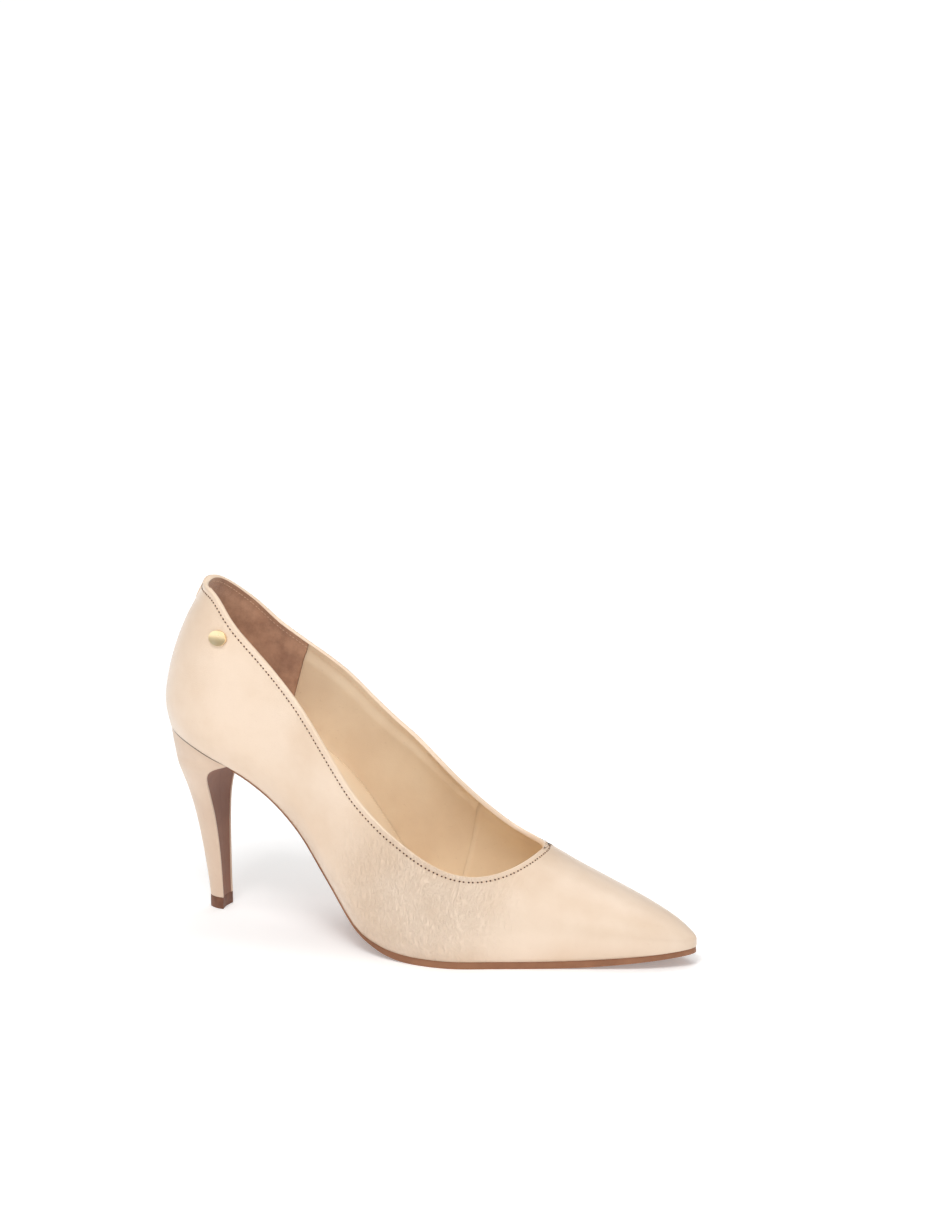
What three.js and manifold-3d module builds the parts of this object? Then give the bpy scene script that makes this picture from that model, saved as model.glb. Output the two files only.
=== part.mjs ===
// A closed pointed pump for the right foot on a slim covered heel, built the way the shoe is built:
// lasted upper and linings, stiffeners, insole with its shank, outsole and a heel that is nailed on.
import * as THREE from 'three';
import { mergeVertices } from 'three/addons/utils/BufferGeometryUtils.js';
import Module from 'manifold-3d';

const wasm = await Module();
wasm.setup();
const { clamp, lerp, degToRad, smoothstep } = THREE.MathUtils;

// Sizes in millimetres. x runs forward from the back of the seat, +y to the inner side, z up.
const shoeLength = 240; // along the feather line, the edge where the upper meets the sole
const seatHeight = 84.5; // of the feather line at the back
const toeSpring = 4.7; // rise of the feather line towards the toe
const innerWaistRise = 6; // how much higher the feather line runs on the inner side of the waist
const seatHalfWidth = 23.6;
const waistHalfWidth = 21;
const outerBall = 42.3; // widest outer half of the feather line
const innerBall = 32.6;
const heelRoundLength = 35; // length of the round back end
const toeRadius = 5; // of the pointed toe in plan
const toeBlendLength = 25;
const toeNoseLength = 11; // of the rounded nose in profile
const toeNoseHeight = 3.5;
const throatStation = 171.5; // where the topline crosses the crown of the vamp
const throatSquareness = 7.3;

const upperThickness = 1.2;
const stiffenerThickness = 0.6;
const tapeThickness = 0.3;
const backerThickness = 0.4;
const liningThickness = 0.75;
const layerGap = 0.25; // between the layers of the wall
const pieceGap = 0.3; // at a seam and between pieces that meet end to end
const bedGap = 0.5; // between sheets stacked on the bed
const boardInset = { edge: 2.4, toe: 5 }; // from the feather line, and drawn back at the toe
const foamInset = { edge: 2, toe: 12 };
const sockInset = { edge: 1.5, toe: 14 };
const lastingMargin = 9; // width that the upper and the linings turn in under the insole
const toeMargin = 4.6; // the same at the pointed toe
const fillerClearance = 1.2; // between the lasting margin and the filler
const foldHeight = 3.8; // over which the layers turn from the wall into the margin
const boardThickness = 2;
const foamThickness = 1.5;
const sockThickness = 0.9;
const soleThickness = 3.3;
const waistSoleThickness = 1;
const soleInset = 0.4;

const sideSeam = 129; // station of the inner side seam at the topline
const sideSeamLean = 20; // how far back that seam and its neighbours run on their way down
const leanReach = 72; // distance from that seam at which the columns stand straight again
const heelGripLength = 56; // suede lining round the heel
const vampLiningSeam = 137;
const counterLength = 74;
const puffLength = 36; // toe puff, back from the tip
const tapeRows = 1; // levels covered by the reinforcing tape at the topline

const topLiftHeight = 5.2;
const heelTipHalfWidth = 5.5;
const heelTipShift = 3; // the tip stands this far to the inner side of the seat's middle line
const seatFront = 38; // how far the heel reaches forward under the seat
const heelCoverThickness = 0.7;
const heelInset = 0.3; // of the heel's outline from the feather line
const coverTopGap = 0.7; // between the cover's upper edge and the feather line
const heelCoreInset = 1.3;
const breastHollow = 0.7;
const breastCoverThickness = 0.5;
const soleTongueStart = 30.5; // the sole's back end, let in between the heel and the upper
const soleTongueInset = 3;

const tubeRadius = 2.2;
const tubeWall = 0.6;
const tubeLength = 46;
const pinLength = 12;
const pinDepth = 2.6; // of the pin's seat in the top lift
const boreOverrun = 2; // by which a bore's tool runs out past the end it opens
const shankStart = 14;
const shankEnd = 112;
const shankHalfWidth = 6.5;
const shankThickness = 1.2;
const rivetStations = [48, 104];
const rivet = { radius: 1.4, headRadius: 3, headHeight: 0.8, tailRadius: 2, tailHeight: 0.6 };
const nailPlaces = [[18, -8], [18, 8], [26, -10], [26, 10]];
const nail = { radius: 0.9, headRadius: 2, headHeight: 0.8, length: 17 };
const screw = { radius: 1.7, headRadius: 3.2, headHeight: 1.2, length: 22, station: 21 };
const fastenerGap = 0.15; // clearance round a shank or head in its hole
const roundSegments = 16;
const smallSegments = 8; // round a nail or a badge's leg

const badgeStation = 31;
const badgeLevel = 0.87; // share of the way from the feather line to the topline
const badge = {
  halfHeight: 3.3, halfWidth: 4.2, thickness: 1, legRadius: 0.4, legSpread: 2, legLength: 0.9, segments: 24,
};
const tabOuterReach = 0.3; // just past the back seam, along the shoe
const tabInnerReach = 13; // and on the inner side, which the tab laps onto
const tabDepth = 11;
const tabThickness = 0.8;

const levelCount = 7; // rows of facets from the feather line to the topline
const marginRows = 1;
const backStations = 14; // columns from the back to the throat
const foreStations = 9; // and from the throat to the toe
const bendStations = [86, 94, 103, 112, 120, 145, 153]; // more columns where the waist bends
const seamRoom = 2.5; // no other column stands nearer to a seam
const lowerShare = 0.25; // share of the section's levels that lie below its widest point

const leather = { color: 0xecd2b6, roughness: 0.5, metalness: 0 };
const lining = { color: 0xc7a07c, roughness: 0.7, metalness: 0 };
const suede = { color: 0x8f6a50, roughness: 0.95, metalness: 0 };
const board = { color: 0x9c7b5a, roughness: 0.9, metalness: 0 };
const felt = { color: 0xb9b2a4, roughness: 1, metalness: 0 };
const steel = { color: 0xb7bcc2, roughness: 0.35, metalness: 1 };
const nylon = { color: 0xf0eee6, roughness: 0.8, metalness: 0 };
const latex = { color: 0xf4ecd8, roughness: 1, metalness: 0 };
const sockLeather = { color: 0xe1c4a4, roughness: 0.6, metalness: 0 };
const soleResin = { color: 0x8a6349, roughness: 0.6, metalness: 0 };
const heelPlastic = { color: 0xefe7da, roughness: 0.6, metalness: 0 };
const breastLeather = { color: 0x87675a, roughness: 0.55, metalness: 0 };
const liftRubber = { color: 0x6f5344, roughness: 0.7, metalness: 0 };
const gold = { color: 0xc9b184, roughness: 0.25, metalness: 1 };

// A smooth curve through [x, y] points, whose slope at each point is the mean of its neighbours'.
function profile(points) {
  const slopes = points.slice(1).map(([x, y], i) => (y - points[i][1]) / (x - points[i][0]));
  const tangents = points.map((_, i) => ((slopes[i - 1] ?? slopes[i]) + (slopes[i] ?? slopes[i - 1])) / 2);
  return (value) => {
    const x = clamp(value, points[0][0], points.at(-1)[0]);
    const i = Math.min(points.findLastIndex(([start]) => start <= x), points.length - 2);
    const span = points[i + 1][0] - points[i][0];
    const u = (x - points[i][0]) / span;
    const start = (1 + 2 * u) * (1 - u) ** 2 * points[i][1] + u * (1 - u) ** 2 * span * tangents[i];
    const end = u * u * (3 - 2 * u) * points[i + 1][1] - u * u * (1 - u) * span * tangents[i + 1];
    return start + end;
  };
}

// The same, over shares of the shoe's length.
const alongShoe = (points) => profile(points.map(([share, value]) => [share * shoeLength, value]));

const heelRise = seatHeight - soleThickness;
const arch = alongShoe([[0, 1], [0.1, 0.91], [0.2, 0.78], [0.3, 0.545], [0.36, 0.32], [0.42, 0.1],
  [0.47, 0.03], [0.52, 0.004], [0.57, 0], [1, 0]]);
const waistRise = alongShoe([[0, 0], [0.12, 0], [0.33, innerWaistRise], [0.47, 0.1 * innerWaistRise],
  [0.53, 0], [1, 0]]);
const outerHalf = alongShoe([[0, seatHalfWidth], [0.125, seatHalfWidth + 1.4], [0.25, seatHalfWidth + 1.1],
  [0.375, 0.75 * outerBall], [0.49, 0.955 * outerBall], [0.6, outerBall], [0.69, 0.815 * outerBall],
  [0.77, 0.625 * outerBall], [0.855, 0.435 * outerBall], [0.94, 0.22 * outerBall], [1, 0]]);
const innerHalf = alongShoe([[0, seatHalfWidth], [0.125, seatHalfWidth + 1.4], [0.25, waistHalfWidth],
  [0.375, waistHalfWidth], [0.5, 0.76 * innerBall], [0.6, innerBall], [0.69, 1.02 * innerBall],
  [0.77, 0.84 * innerBall], [0.855, 0.61 * innerBall], [0.94, 0.27 * innerBall], [1, 0]]);
const bulge = alongShoe([[0, 3.5], [0.4, 5], [0.6, 4], [0.8, 3], [0.93, 2], [1, 0.5]]);
const bulgeHeight = alongShoe([[0, 16], [0.45, 15], [0.6, 12.5], [0.8, 10], [0.93, 6], [1, 2.5]]);
const crownBase = alongShoe([[0, 110.8], [0.17, 108.2], [0.33, 103.5], [0.5, 79.4], [0.62, 55], [0.73, 41],
  [0.83, 31], [0.92, 22.8], [1, 14]]);
const crownShare = alongShoe([[0, 1], [0.17, 0.86], [0.33, 0.45], [0.5, 0.05], [0.62, 0], [0.73, 0],
  [0.83, 0], [0.92, 0], [1, 0]]);
const ridgeShift = alongShoe([[0, 0], [0.25, 0], [0.375, -3], [0.5, -5], [0.6, -2.5], [0.7, -0.5],
  [0.8, 0.5], [1, 0]]);
const squareness = alongShoe([[0, 1.7], [0.18, 2.1], [0.35, 2.7], [0.6, 2], [1, 2]]);
const outerOpening = alongShoe([[0, 56.5], [0.09, 55.5], [0.18, 60.8], [0.35, 62.5], [0.53, 61], [0.75, 77]]);
const innerOpening = alongShoe([[0, 56.5], [0.09, 63], [0.18, 66.8], [0.35, 59.5], [0.53, 39], [0.75, 60.5]]);
const backLine = profile([[0, 2.2], [10, 0.6], [22, 2.1], [35, 5.8], [48, 11.3], [60, 18], [66, 21]]);
const backFadeLength = 70;

const outer = -1; // the sides, by the sign of y
const inner = 1;
const stationOf = (turn) => shoeLength * (1 - Math.cos(Math.PI * turn)) / 2;
const turnOf = (station) => Math.acos(1 - 2 * station / shoeLength) / Math.PI;
const halfWidth = (station, side) => (side === outer ? outerHalf : innerHalf)(station);
const backFade = (station) => clamp(1 - station / backFadeLength, 0, 1) ** 2;

// A half width with the round back end and the rounded toe.
function rounded(station, width) {
  const fromBack = clamp(station / heelRoundLength, 0, 1);
  const fromToe = Math.max(shoeLength - station, 0);
  const toeRound = 2 * toeRadius * fromToe * Math.exp(-fromToe / toeBlendLength);
  return Math.sqrt(1 - (1 - fromBack) ** 2) * Math.sqrt((fromToe > 0 ? width : 0) ** 2 + toeRound);
}

function featherHeight(station, side) {
  const toeShare = clamp((station / shoeLength - 0.74) / 0.26, 0, 1);
  const rise = side === inner ? Math.max(waistRise(station), 0) : 0;
  return soleThickness + heelRise * Math.max(arch(station), 0) + toeSpring * toeShare ** 1.6 + rise;
}

function crownHeight(station) {
  const fromToe = clamp((shoeLength - station) / toeNoseLength, 0, 1);
  const nose = featherHeight(station, outer) + toeNoseHeight;
  const crown = crownBase(station) + heelRise * crownShare(station);
  return nose + (crown - nose) * Math.sqrt(1 - (1 - fromToe) ** 2);
}

// A point of the upper's outer face: turn 0 to 1 is back to toe, level 0 to 1 is feather line to crown.
function upperPoint(side, turn, level) {
  if (turn < 0) return upperPoint(-side, -turn, level);
  if (turn > 1) return upperPoint(-side, 2 - turn, level);
  if (level > 1) return upperPoint(-side, turn, 2 - level);
  const station = stationOf(turn);
  const foot = rounded(station, halfWidth(station, side));
  const widest = rounded(station, halfWidth(station, side) + bulge(station));
  const base = featherHeight(station, side);
  const crown = crownHeight(station) - base;
  const widestHeight = Math.min(bulgeHeight(station), 0.6 * crown);
  let y;
  let height;
  if (level < lowerShare) {
    const share = level / lowerShare;
    y = side * (widest - (widest - foot) * (1 - share) ** 2);
    height = widestHeight * share;
  } else {
    const angle = degToRad(90 * (level - lowerShare) / (1 - lowerShare));
    const power = squareness(station);
    const radius = (Math.abs(Math.cos(angle)) ** power + Math.sin(angle) ** power) ** (-1 / power);
    const ends = clamp(station / heelRoundLength, 0, 1) * clamp((shoeLength - station) / 20, 0, 1);
    const ridge = ridgeShift(station) * ends;
    y = ridge + (side * widest - ridge) * radius * Math.cos(angle);
    height = widestHeight + (crown - widestHeight) * radius * Math.sin(angle);
  }
  return new THREE.Vector3(station + backLine(height) * backFade(station), y, base + height);
}

function upperNormal(side, turn, level) {
  if (turn > 1 - 1e-6) return new THREE.Vector3(1, 0, 0);
  const step = 1e-4;
  const low = Math.max(level - step, 0);
  const forward = upperPoint(side, turn + step, level).sub(upperPoint(side, turn - step, level));
  const upward = upperPoint(side, turn, level + step).sub(upperPoint(side, turn, low));
  const normal = forward.cross(upward).multiplyScalar(-side).normalize();
  return turn < 1e-6 ? normal.setY(0).normalize() : normal;
}

// The topline's level at a station: full height at the throat and beyond.
function toplineLevel(side, station) {
  const opening = (side === outer ? outerOpening : innerOpening)(station);
  const share = clamp(station / throatStation, 0, 1);
  const angle = 90 - opening * Math.sqrt(Math.max(1 - share ** throatSquareness, 0));
  return lowerShare + (1 - lowerShare) * angle / 90;
}

// The plan outline at the feather line, moved in by an inset and drawn back at the toe.
function rimPoint(side, turn, inset = 0, toeInset = 0) {
  const at = (t) => {
    const mirrored = t < 0 || t > 1;
    const u = t < 0 ? -t : t > 1 ? 2 - t : t;
    const s = mirrored ? -side : side;
    const station = stationOf(u);
    const y = s * rounded(station, halfWidth(station, s));
    return new THREE.Vector2(station + backLine(0) * backFade(station), y);
  };
  const along = at(turn + 1e-4).sub(at(turn - 1e-4)).normalize();
  const point = at(turn).add(new THREE.Vector2(side * along.y, -side * along.x).multiplyScalar(inset));
  const nearToe = clamp((point.x / shoeLength - 0.7) / 0.3, 0, 1);
  return point.setX(point.x - toeInset * nearToe ** 2);
}

const stationUnder = (x) => {
  let station = x;
  for (let i = 0; i < 5; i++) station = x - backLine(0) * backFade(station);
  return clamp(station, 0, shoeLength);
};

// The bed is the surface that the lasted upper rests on: the feather lines and what lies between them.
function bedHeight(x, y) {
  const station = stationUnder(x);
  const width = outerHalf(station) + innerHalf(station);
  const share = width > 0 ? clamp((y + outerHalf(station)) / width, 0, 1) : 0;
  return lerp(featherHeight(station, outer), featherHeight(station, inner), share);
}

function bedNormal(x) {
  const slope = (bedHeight(x + 0.5, 0) - bedHeight(x - 0.5, 0));
  return new THREE.Vector3(-slope, 0, 1).normalize();
}

function onBed(x, y, height = 0) {
  return new THREE.Vector3(x, y, bedHeight(x, y)).addScaledVector(bedNormal(x), height);
}

// Columns of the wall's facets, with a pair of columns a seam's width apart at each seam.
function wallStations() {
  const seams = [heelGripLength, counterLength, sideSeam, vampLiningSeam, shoeLength - puffLength];
  const pairs = seams.flatMap((seam) => [seam - pieceGap / 2, seam + pieceGap / 2]);
  const backSeam = heelRoundLength / 2 * (pieceGap / seatHalfWidth) ** 2;
  const back = Array.from({ length: backStations + 1 }, (_, i) =>
    throatStation * (1 - Math.cos(Math.PI * i / backStations)) / 2);
  const fore = Array.from({ length: foreStations }, (_, i) =>
    lerp(throatStation, shoeLength, Math.sin(Math.PI / 2 * (i + 1) / foreStations)));
  const clear = (station) => seams.every((seam) => Math.abs(station - seam) > seamRoom);
  const spaced = [...back, ...bendStations, ...fore].filter(clear);
  return [...spaced, backSeam, ...pairs].sort((a, b) => a - b);
}

const stations = wallStations();
const seamIndex = (seam, after = 0) => stations.indexOf(seam + (after - 0.5) * pieceGap);
const throatIndex = stations.indexOf(throatStation);
const toeIndex = stations.length - 1;
const backSeamIndex = 1; // the first column off the middle of the back

// The seams on the inner side lean back as they run down.
function leanedStation(side, station, level) {
  if (side === outer) return station;
  const nearness = 1 - Math.min(((station - sideSeam) / leanReach) ** 2, 1);
  return station - sideSeamLean * (1 - level) * nearness ** 2;
}

// One point of the lasted wall with the direction in which its layers are stacked. Level 0 is the fold
// at the feather line, and negative levels lie in the margin under the insole.
function wallVertex(side, column, level) {
  const share = Math.max(level, 0) / levelCount;
  const station = leanedStation(side, stations[column], share);
  const turn = turnOf(station);
  const rim = rimPoint(side, turn);
  const down = bedNormal(rim.x).negate();
  if (level < 0) {
    const room = Math.max(0.55 * halfWidth(station, side), toeMargin);
    const plan = rimPoint(side, turn, Math.min(lastingMargin, room) * -level / marginRows);
    return { at: onBed(plan.x, plan.y), out: bedNormal(plan.x).negate() };
  }
  const height = share * toplineLevel(side, stations[column]);
  const at = upperPoint(side, turn, height);
  const fold = clamp(1 - (at.z - featherHeight(station, side)) / foldHeight, 0, 1);
  const normal = upperNormal(side, turn, height);
  const out = normal.clone().addScaledVector(down, fold);
  return { at, out: out.divideScalar(1 + fold * normal.dot(down)) };
}

// A rectangle of the wall: columns from and to, levels low to high.
function wallPatch(side, from, to, low = -marginRows, high = levelCount) {
  const columns = Array.from({ length: to - from + 1 }, (_, i) => from + i);
  const levels = Array.from({ length: high - low + 1 }, (_, i) => low + i);
  return columns.map((column) => levels.map((level) => wallVertex(side, column, level)));
}

const volumeOf = (positions, index) => {
  const corner = (i) => new THREE.Vector3().fromArray(positions, 3 * index[i]);
  let volume = 0;
  for (let i = 0; i < index.length; i += 3) volume += corner(i).dot(corner(i + 1).cross(corner(i + 2)));
  return volume / 6;
};

function geometryOf(positions, index) {
  const geometry = new THREE.BufferGeometry();
  geometry.setAttribute('position', new THREE.Float32BufferAttribute(positions, 3));
  geometry.setIndex(volumeOf(positions, index) < 0 ? index.toReversed() : index);
  return geometry;
}

// A closed sheet between two offsets of one or more patches, which join where their points meet.
function shell(patches, low, high) {
  const found = new Map();
  const points = [];
  const indexOf = (point) => {
    const key = point.at.toArray().map((value) => Math.round(value * 1000)).join();
    if (!found.has(key)) found.set(key, points.push(point) - 1);
    return found.get(key);
  };
  const faces = [];
  for (const patch of patches) {
    const ids = patch.map((row) => row.map(indexOf));
    const [corner, next, over] = [patch[0].at(-2), patch[1].at(-2), patch[1].at(-1)];
    const facing = next.at.clone().sub(corner.at).cross(over.at.clone().sub(corner.at)).dot(next.out);
    const addFace = (...face) => {
      if (new Set(face).size === 3) faces.push(facing > 0 ? face : face.toReversed());
    };
    for (let i = 1; i < ids.length; i++) {
      for (let j = 1; j < ids[i].length; j++) {
        addFace(ids[i - 1][j - 1], ids[i][j - 1], ids[i][j]);
        addFace(ids[i - 1][j - 1], ids[i][j], ids[i - 1][j]);
      }
    }
  }
  const edges = new Set(faces.flatMap(([a, b, c]) => [`${a},${b}`, `${b},${c}`, `${c},${a}`]));
  const count = points.length;
  const offset = (rule, point) => (typeof rule === 'function' ? rule(point.at) : rule);
  const face = (rule) => points.flatMap((point) =>
    point.at.clone().addScaledVector(point.out, offset(rule, point)).toArray());
  const index = faces.flatMap(([a, b, c]) => [a, b, c, c + count, b + count, a + count]);
  for (const edge of edges) {
    const [a, b] = edge.split(',').map(Number);
    if (!edges.has(`${b},${a}`)) index.push(b, a, a + count, b, a + count, b + count);
  }
  return geometryOf([...face(high), ...face(low)], index);
}

// A closed solid through a stack of rings, capped by triangles in plan.
function loft(rings) {
  const size = rings[0].length;
  const positions = rings.flat().flatMap((point) => point.toArray());
  const index = [];
  for (let r = 1; r < rings.length; r++) {
    for (let j = 0; j < size; j++) {
      const [a, b] = [(r - 1) * size + j, (r - 1) * size + (j + 1) % size];
      index.push(a, b, b + size, a, b + size, a + size);
    }
  }
  const inPlan = (ring) => ring.map((p) => new THREE.Vector2(p.x, p.y));
  const capFaces = (ring) => THREE.ShapeUtils.triangulateShape(inPlan(ring), []);
  const area = THREE.ShapeUtils.area(inPlan(rings[0]));
  const last = (rings.length - 1) * size;
  for (const [a, b, c] of capFaces(rings[0])) index.push(...(area > 0 ? [c, b, a] : [a, b, c]));
  for (const [a, b, c] of capFaces(rings.at(-1))) {
    index.push(...(area > 0 ? [a + last, b + last, c + last] : [c + last, b + last, a + last]));
  }
  return geometryOf(positions, index);
}

function toSolid(geometry) {
  const bare = geometry.clone();
  bare.deleteAttribute('normal');
  bare.deleteAttribute('uv');
  const merged = mergeVertices(bare, 1e-4);
  return new wasm.Manifold(new wasm.Mesh({
    numProp: 3,
    vertProperties: new Float32Array(merged.attributes.position.array),
    triVerts: new Uint32Array(merged.index.array),
  }));
}

function cut(geometry, ...tools) {
  let solid = toSolid(geometry);
  for (const tool of tools) solid = solid.subtract(toSolid(tool));
  const mesh = solid.getMesh();
  return geometryOf(Array.from(mesh.vertProperties), Array.from(mesh.triVerts));
}

// A turned piece on a line: steps are [distance along the line, radius] pairs.
function turned(start, direction, steps, segments = roundSegments) {
  const profilePoints = [[steps[0][0], 0], ...steps, [steps.at(-1)[0], 0]];
  const geometry = new THREE.LatheGeometry(profilePoints.map(([along, radius]) =>
    new THREE.Vector2(radius, along)), segments);
  const turn = new THREE.Quaternion().setFromUnitVectors(new THREE.Vector3(0, 1, 0), direction);
  geometry.applyQuaternion(turn);
  geometry.translate(start.x, start.y, start.z);
  const bare = geometry.clone();
  bare.deleteAttribute('normal');
  bare.deleteAttribute('uv');
  const merged = mergeVertices(bare, 1e-4);
  const kept = [];
  const index = merged.index.array;
  for (let i = 0; i < index.length; i += 3) {
    const [a, b, c] = [index[i], index[i + 1], index[i + 2]];
    if (a !== b && b !== c && c !== a) kept.push(a, b, c);
  }
  return geometryOf(Array.from(merged.attributes.position.array), kept);
}

const shoe = new THREE.Group();

function add(name, geometry, look) {
  const mesh = new THREE.Mesh(geometry, new THREE.MeshStandardMaterial(look));
  mesh.name = name;
  shoe.add(mesh);
}

// ---- Wall layers: upper, stiffeners and linings, from the outside in ----
const stiffenerOut = -(upperThickness + layerGap);
const stiffenerIn = stiffenerOut - stiffenerThickness;
const liningOut = stiffenerIn - layerGap;
const liningIn = liningOut - liningThickness;

const badgeSeat = () => {
  const turn = turnOf(badgeStation);
  const level = badgeLevel * toplineLevel(outer, badgeStation);
  return { at: upperPoint(outer, turn, level), out: upperNormal(outer, turn, level) };
};

function badgeLegs(extraRadius, extraLength) {
  const { at, out } = badgeSeat();
  const up = new THREE.Vector3(0, 0, 1).projectOnPlane(out).normalize();
  const radius = badge.legRadius + extraRadius;
  const steps = [[0, radius], [badge.legLength + badge.thickness / 2, radius]];
  return [-1, 1].map((sign) => {
    const foot = at.clone().addScaledVector(up, sign * badge.legSpread);
    return turned(foot.addScaledVector(out, -badge.legLength - extraLength), out, steps, smallSegments);
  });
}

function buildUpper() {
  const seam = seamIndex(sideSeam, 1);
  const vamp = [wallPatch(outer, 0, toeIndex), wallPatch(inner, seam, toeIndex)];
  const vampSheet = shell(vamp, -upperThickness, 0);
  add('vamp_and_outer_quarter', cut(vampSheet, ...badgeLegs(fastenerGap, fastenerGap)), leather);
  const quarter = wallPatch(inner, backSeamIndex, seamIndex(sideSeam));
  add('inner_quarter', shell([quarter], -upperThickness, 0), leather);
}

function buildBackTab() {
  const columns = 7;
  const rows = 4;
  const point = (side, i, j) => {
    const reach = side === outer ? tabOuterReach : tabInnerReach;
    const turn = turnOf(reach * (i / columns) ** 2);
    const station = stationOf(turn);
    const top = toplineLevel(side, station);
    const tall = upperPoint(side, turn, top).distanceTo(upperPoint(side, turn, 0.9 * top));
    const depth = tabDepth * Math.sqrt(1 - 0.75 * (i / columns) ** 2);
    const level = top * (1 - 0.1 * (depth / tall) * (1 - j / rows)) - 0.002;
    return { at: upperPoint(side, turn, level), out: upperNormal(side, turn, level) };
  };
  const patch = (side) => Array.from({ length: columns + 1 }, (_, i) =>
    Array.from({ length: rows + 1 }, (_unused, j) => point(side, i, j)));
  add('back_tab', shell([patch(outer), patch(inner)], layerGap, layerGap + tabThickness), leather);
}

function buildBadge() {
  const { at, out } = badgeSeat();
  const up = new THREE.Vector3(0, 0, 1).projectOnPlane(out).normalize();
  const across = up.clone().cross(out);
  const ring = (scale, height) => Array.from({ length: badge.segments }, (_, i) => {
    const angle = 2 * Math.PI * i / badge.segments;
    const x = scale * badge.halfWidth * Math.cos(angle);
    return new THREE.Vector3(x, scale * badge.halfHeight * Math.sin(angle), height);
  });
  const plate = loft([ring(1, 0), ring(1, 0.6 * badge.thickness), ring(0.8, badge.thickness)]);
  const frame = new THREE.Matrix4().makeBasis(across, up, out);
  frame.setPosition(at.clone().addScaledVector(out, layerGap));
  plate.applyMatrix4(frame);
  let solid = toSolid(plate);
  for (const leg of badgeLegs(0, 0)) solid = solid.add(toSolid(leg));
  const mesh = solid.getMesh();
  add('side_badge', geometryOf(Array.from(mesh.vertProperties), Array.from(mesh.triVerts)), gold);
}

function buildStiffeners() {
  const below = levelCount - tapeRows;
  const counterEnd = seamIndex(counterLength);
  const counterTop = below - 1;
  const counter = [outer, inner].map((side) => wallPatch(side, 0, counterEnd, -marginRows, counterTop));
  add('heel_counter', shell(counter, stiffenerIn, stiffenerOut), board);
  const tape = [outer, inner].map((side) => wallPatch(side, 0, throatIndex + 1, below, levelCount));
  add('topline_tape', shell(tape, stiffenerOut - tapeThickness, stiffenerOut), nylon);
  const puffStart = seamIndex(shoeLength - puffLength, 1);
  const puff = [outer, inner].map((side) => wallPatch(side, puffStart, toeIndex));
  add('toe_puff', shell(puff, stiffenerIn, stiffenerOut), board);
  const backerFrom = seamIndex(counterLength, 1);
  const backerTo = seamIndex(shoeLength - puffLength);
  const backer = [outer, inner].flatMap((side) => [
    wallPatch(side, backerFrom, throatIndex + 1, 0, counterTop),
    wallPatch(side, throatIndex + 1, backerTo, 0, levelCount),
  ]);
  add('vamp_backer', shell(backer, stiffenerOut - backerThickness, stiffenerOut), felt);
}

function buildLinings() {
  const gripEnd = seamIndex(heelGripLength);
  const grip = [outer, inner].map((side) => wallPatch(side, 0, gripEnd));
  add('heel_grip_lining', shell(grip, liningIn, liningOut), suede);
  const quarterFrom = seamIndex(heelGripLength, 1);
  const quarterTo = seamIndex(vampLiningSeam);
  add('outer_quarter_lining', shell([wallPatch(outer, quarterFrom, quarterTo)], liningIn, liningOut), lining);
  add('inner_quarter_lining', shell([wallPatch(inner, quarterFrom, quarterTo)], liningIn, liningOut), lining);
  const vampFrom = seamIndex(vampLiningSeam, 1);
  const vamp = [outer, inner].map((side) => wallPatch(side, vampFrom, toeIndex));
  add('vamp_lining', shell(vamp, liningIn, liningOut), lining);
}

// ---- Bottom: insole board, shank, foam, sock, filler and outsole, stacked on the bed ----
const boardLow = -liningIn + bedGap;
const boardHigh = boardLow + boardThickness;
const foamLow = boardHigh + bedGap;
const foamHigh = foamLow + foamThickness;
const sockLow = foamHigh + bedGap;
const sockHigh = sockLow + sockThickness;

// A sheet on the bed from rows of plan points, each row a pair of edge points.
function bedSheet(edges, low, high, across = 2) {
  const patch = edges.map(([from, to]) => Array.from({ length: across + 1 }, (_, i) => {
    const plan = from.clone().lerp(to, i / across);
    return { at: onBed(plan.x, plan.y), out: bedNormal(plan.x) };
  }));
  return shell([patch], low, high);
}

const bottomStations = stations.filter((station, i) => i === 0 || station - stations[i - 1] > 2 * pieceGap);

function insoleEdges({ edge, toe }) {
  return bottomStations.map((station) => [outer, inner].map((side) =>
    rimPoint(side, turnOf(station), edge, toe)));
}

const middleOf = (x) => (innerHalf(stationUnder(x)) - outerHalf(stationUnder(x))) / 2;

const shankMiddle = (x) => middleOf(x) * smoothstep(x, shankStart, shankEnd);

function rivetAt(x, gap = 0) {
  const start = onBed(x, shankMiddle(x), boardLow - 2 * bedGap - shankThickness - rivet.tailHeight);
  const through = boardHigh - boardLow + 2 * bedGap + shankThickness + rivet.tailHeight;
  return turned(start, bedNormal(x), [
    [-gap, rivet.tailRadius + gap],
    [rivet.tailHeight + (gap ? -0.05 : 0), rivet.tailRadius + gap],
    [rivet.tailHeight + (gap ? -0.05 : 0), rivet.radius + gap],
    [through - rivet.headHeight - gap, rivet.radius + gap],
    [through - rivet.headHeight - gap, rivet.headRadius + gap],
    [through + gap, rivet.headRadius + gap],
  ]);
}

// A nail or screw from the top of the insole board down into the heel.
function driven(x, y, size, gap = 0) {
  const end = onBed(x, y, boardHigh);
  const direction = bedNormal(x).negate();
  return turned(end.addScaledVector(direction, -gap), direction, [
    [0, size.headRadius + gap],
    [size.headHeight + 2 * gap, size.headRadius + gap],
    [size.headHeight + 2 * gap, size.radius + gap],
    [size.length + 2 * gap, size.radius + gap],
  ], size === screw ? roundSegments : smallSegments);
}

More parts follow.
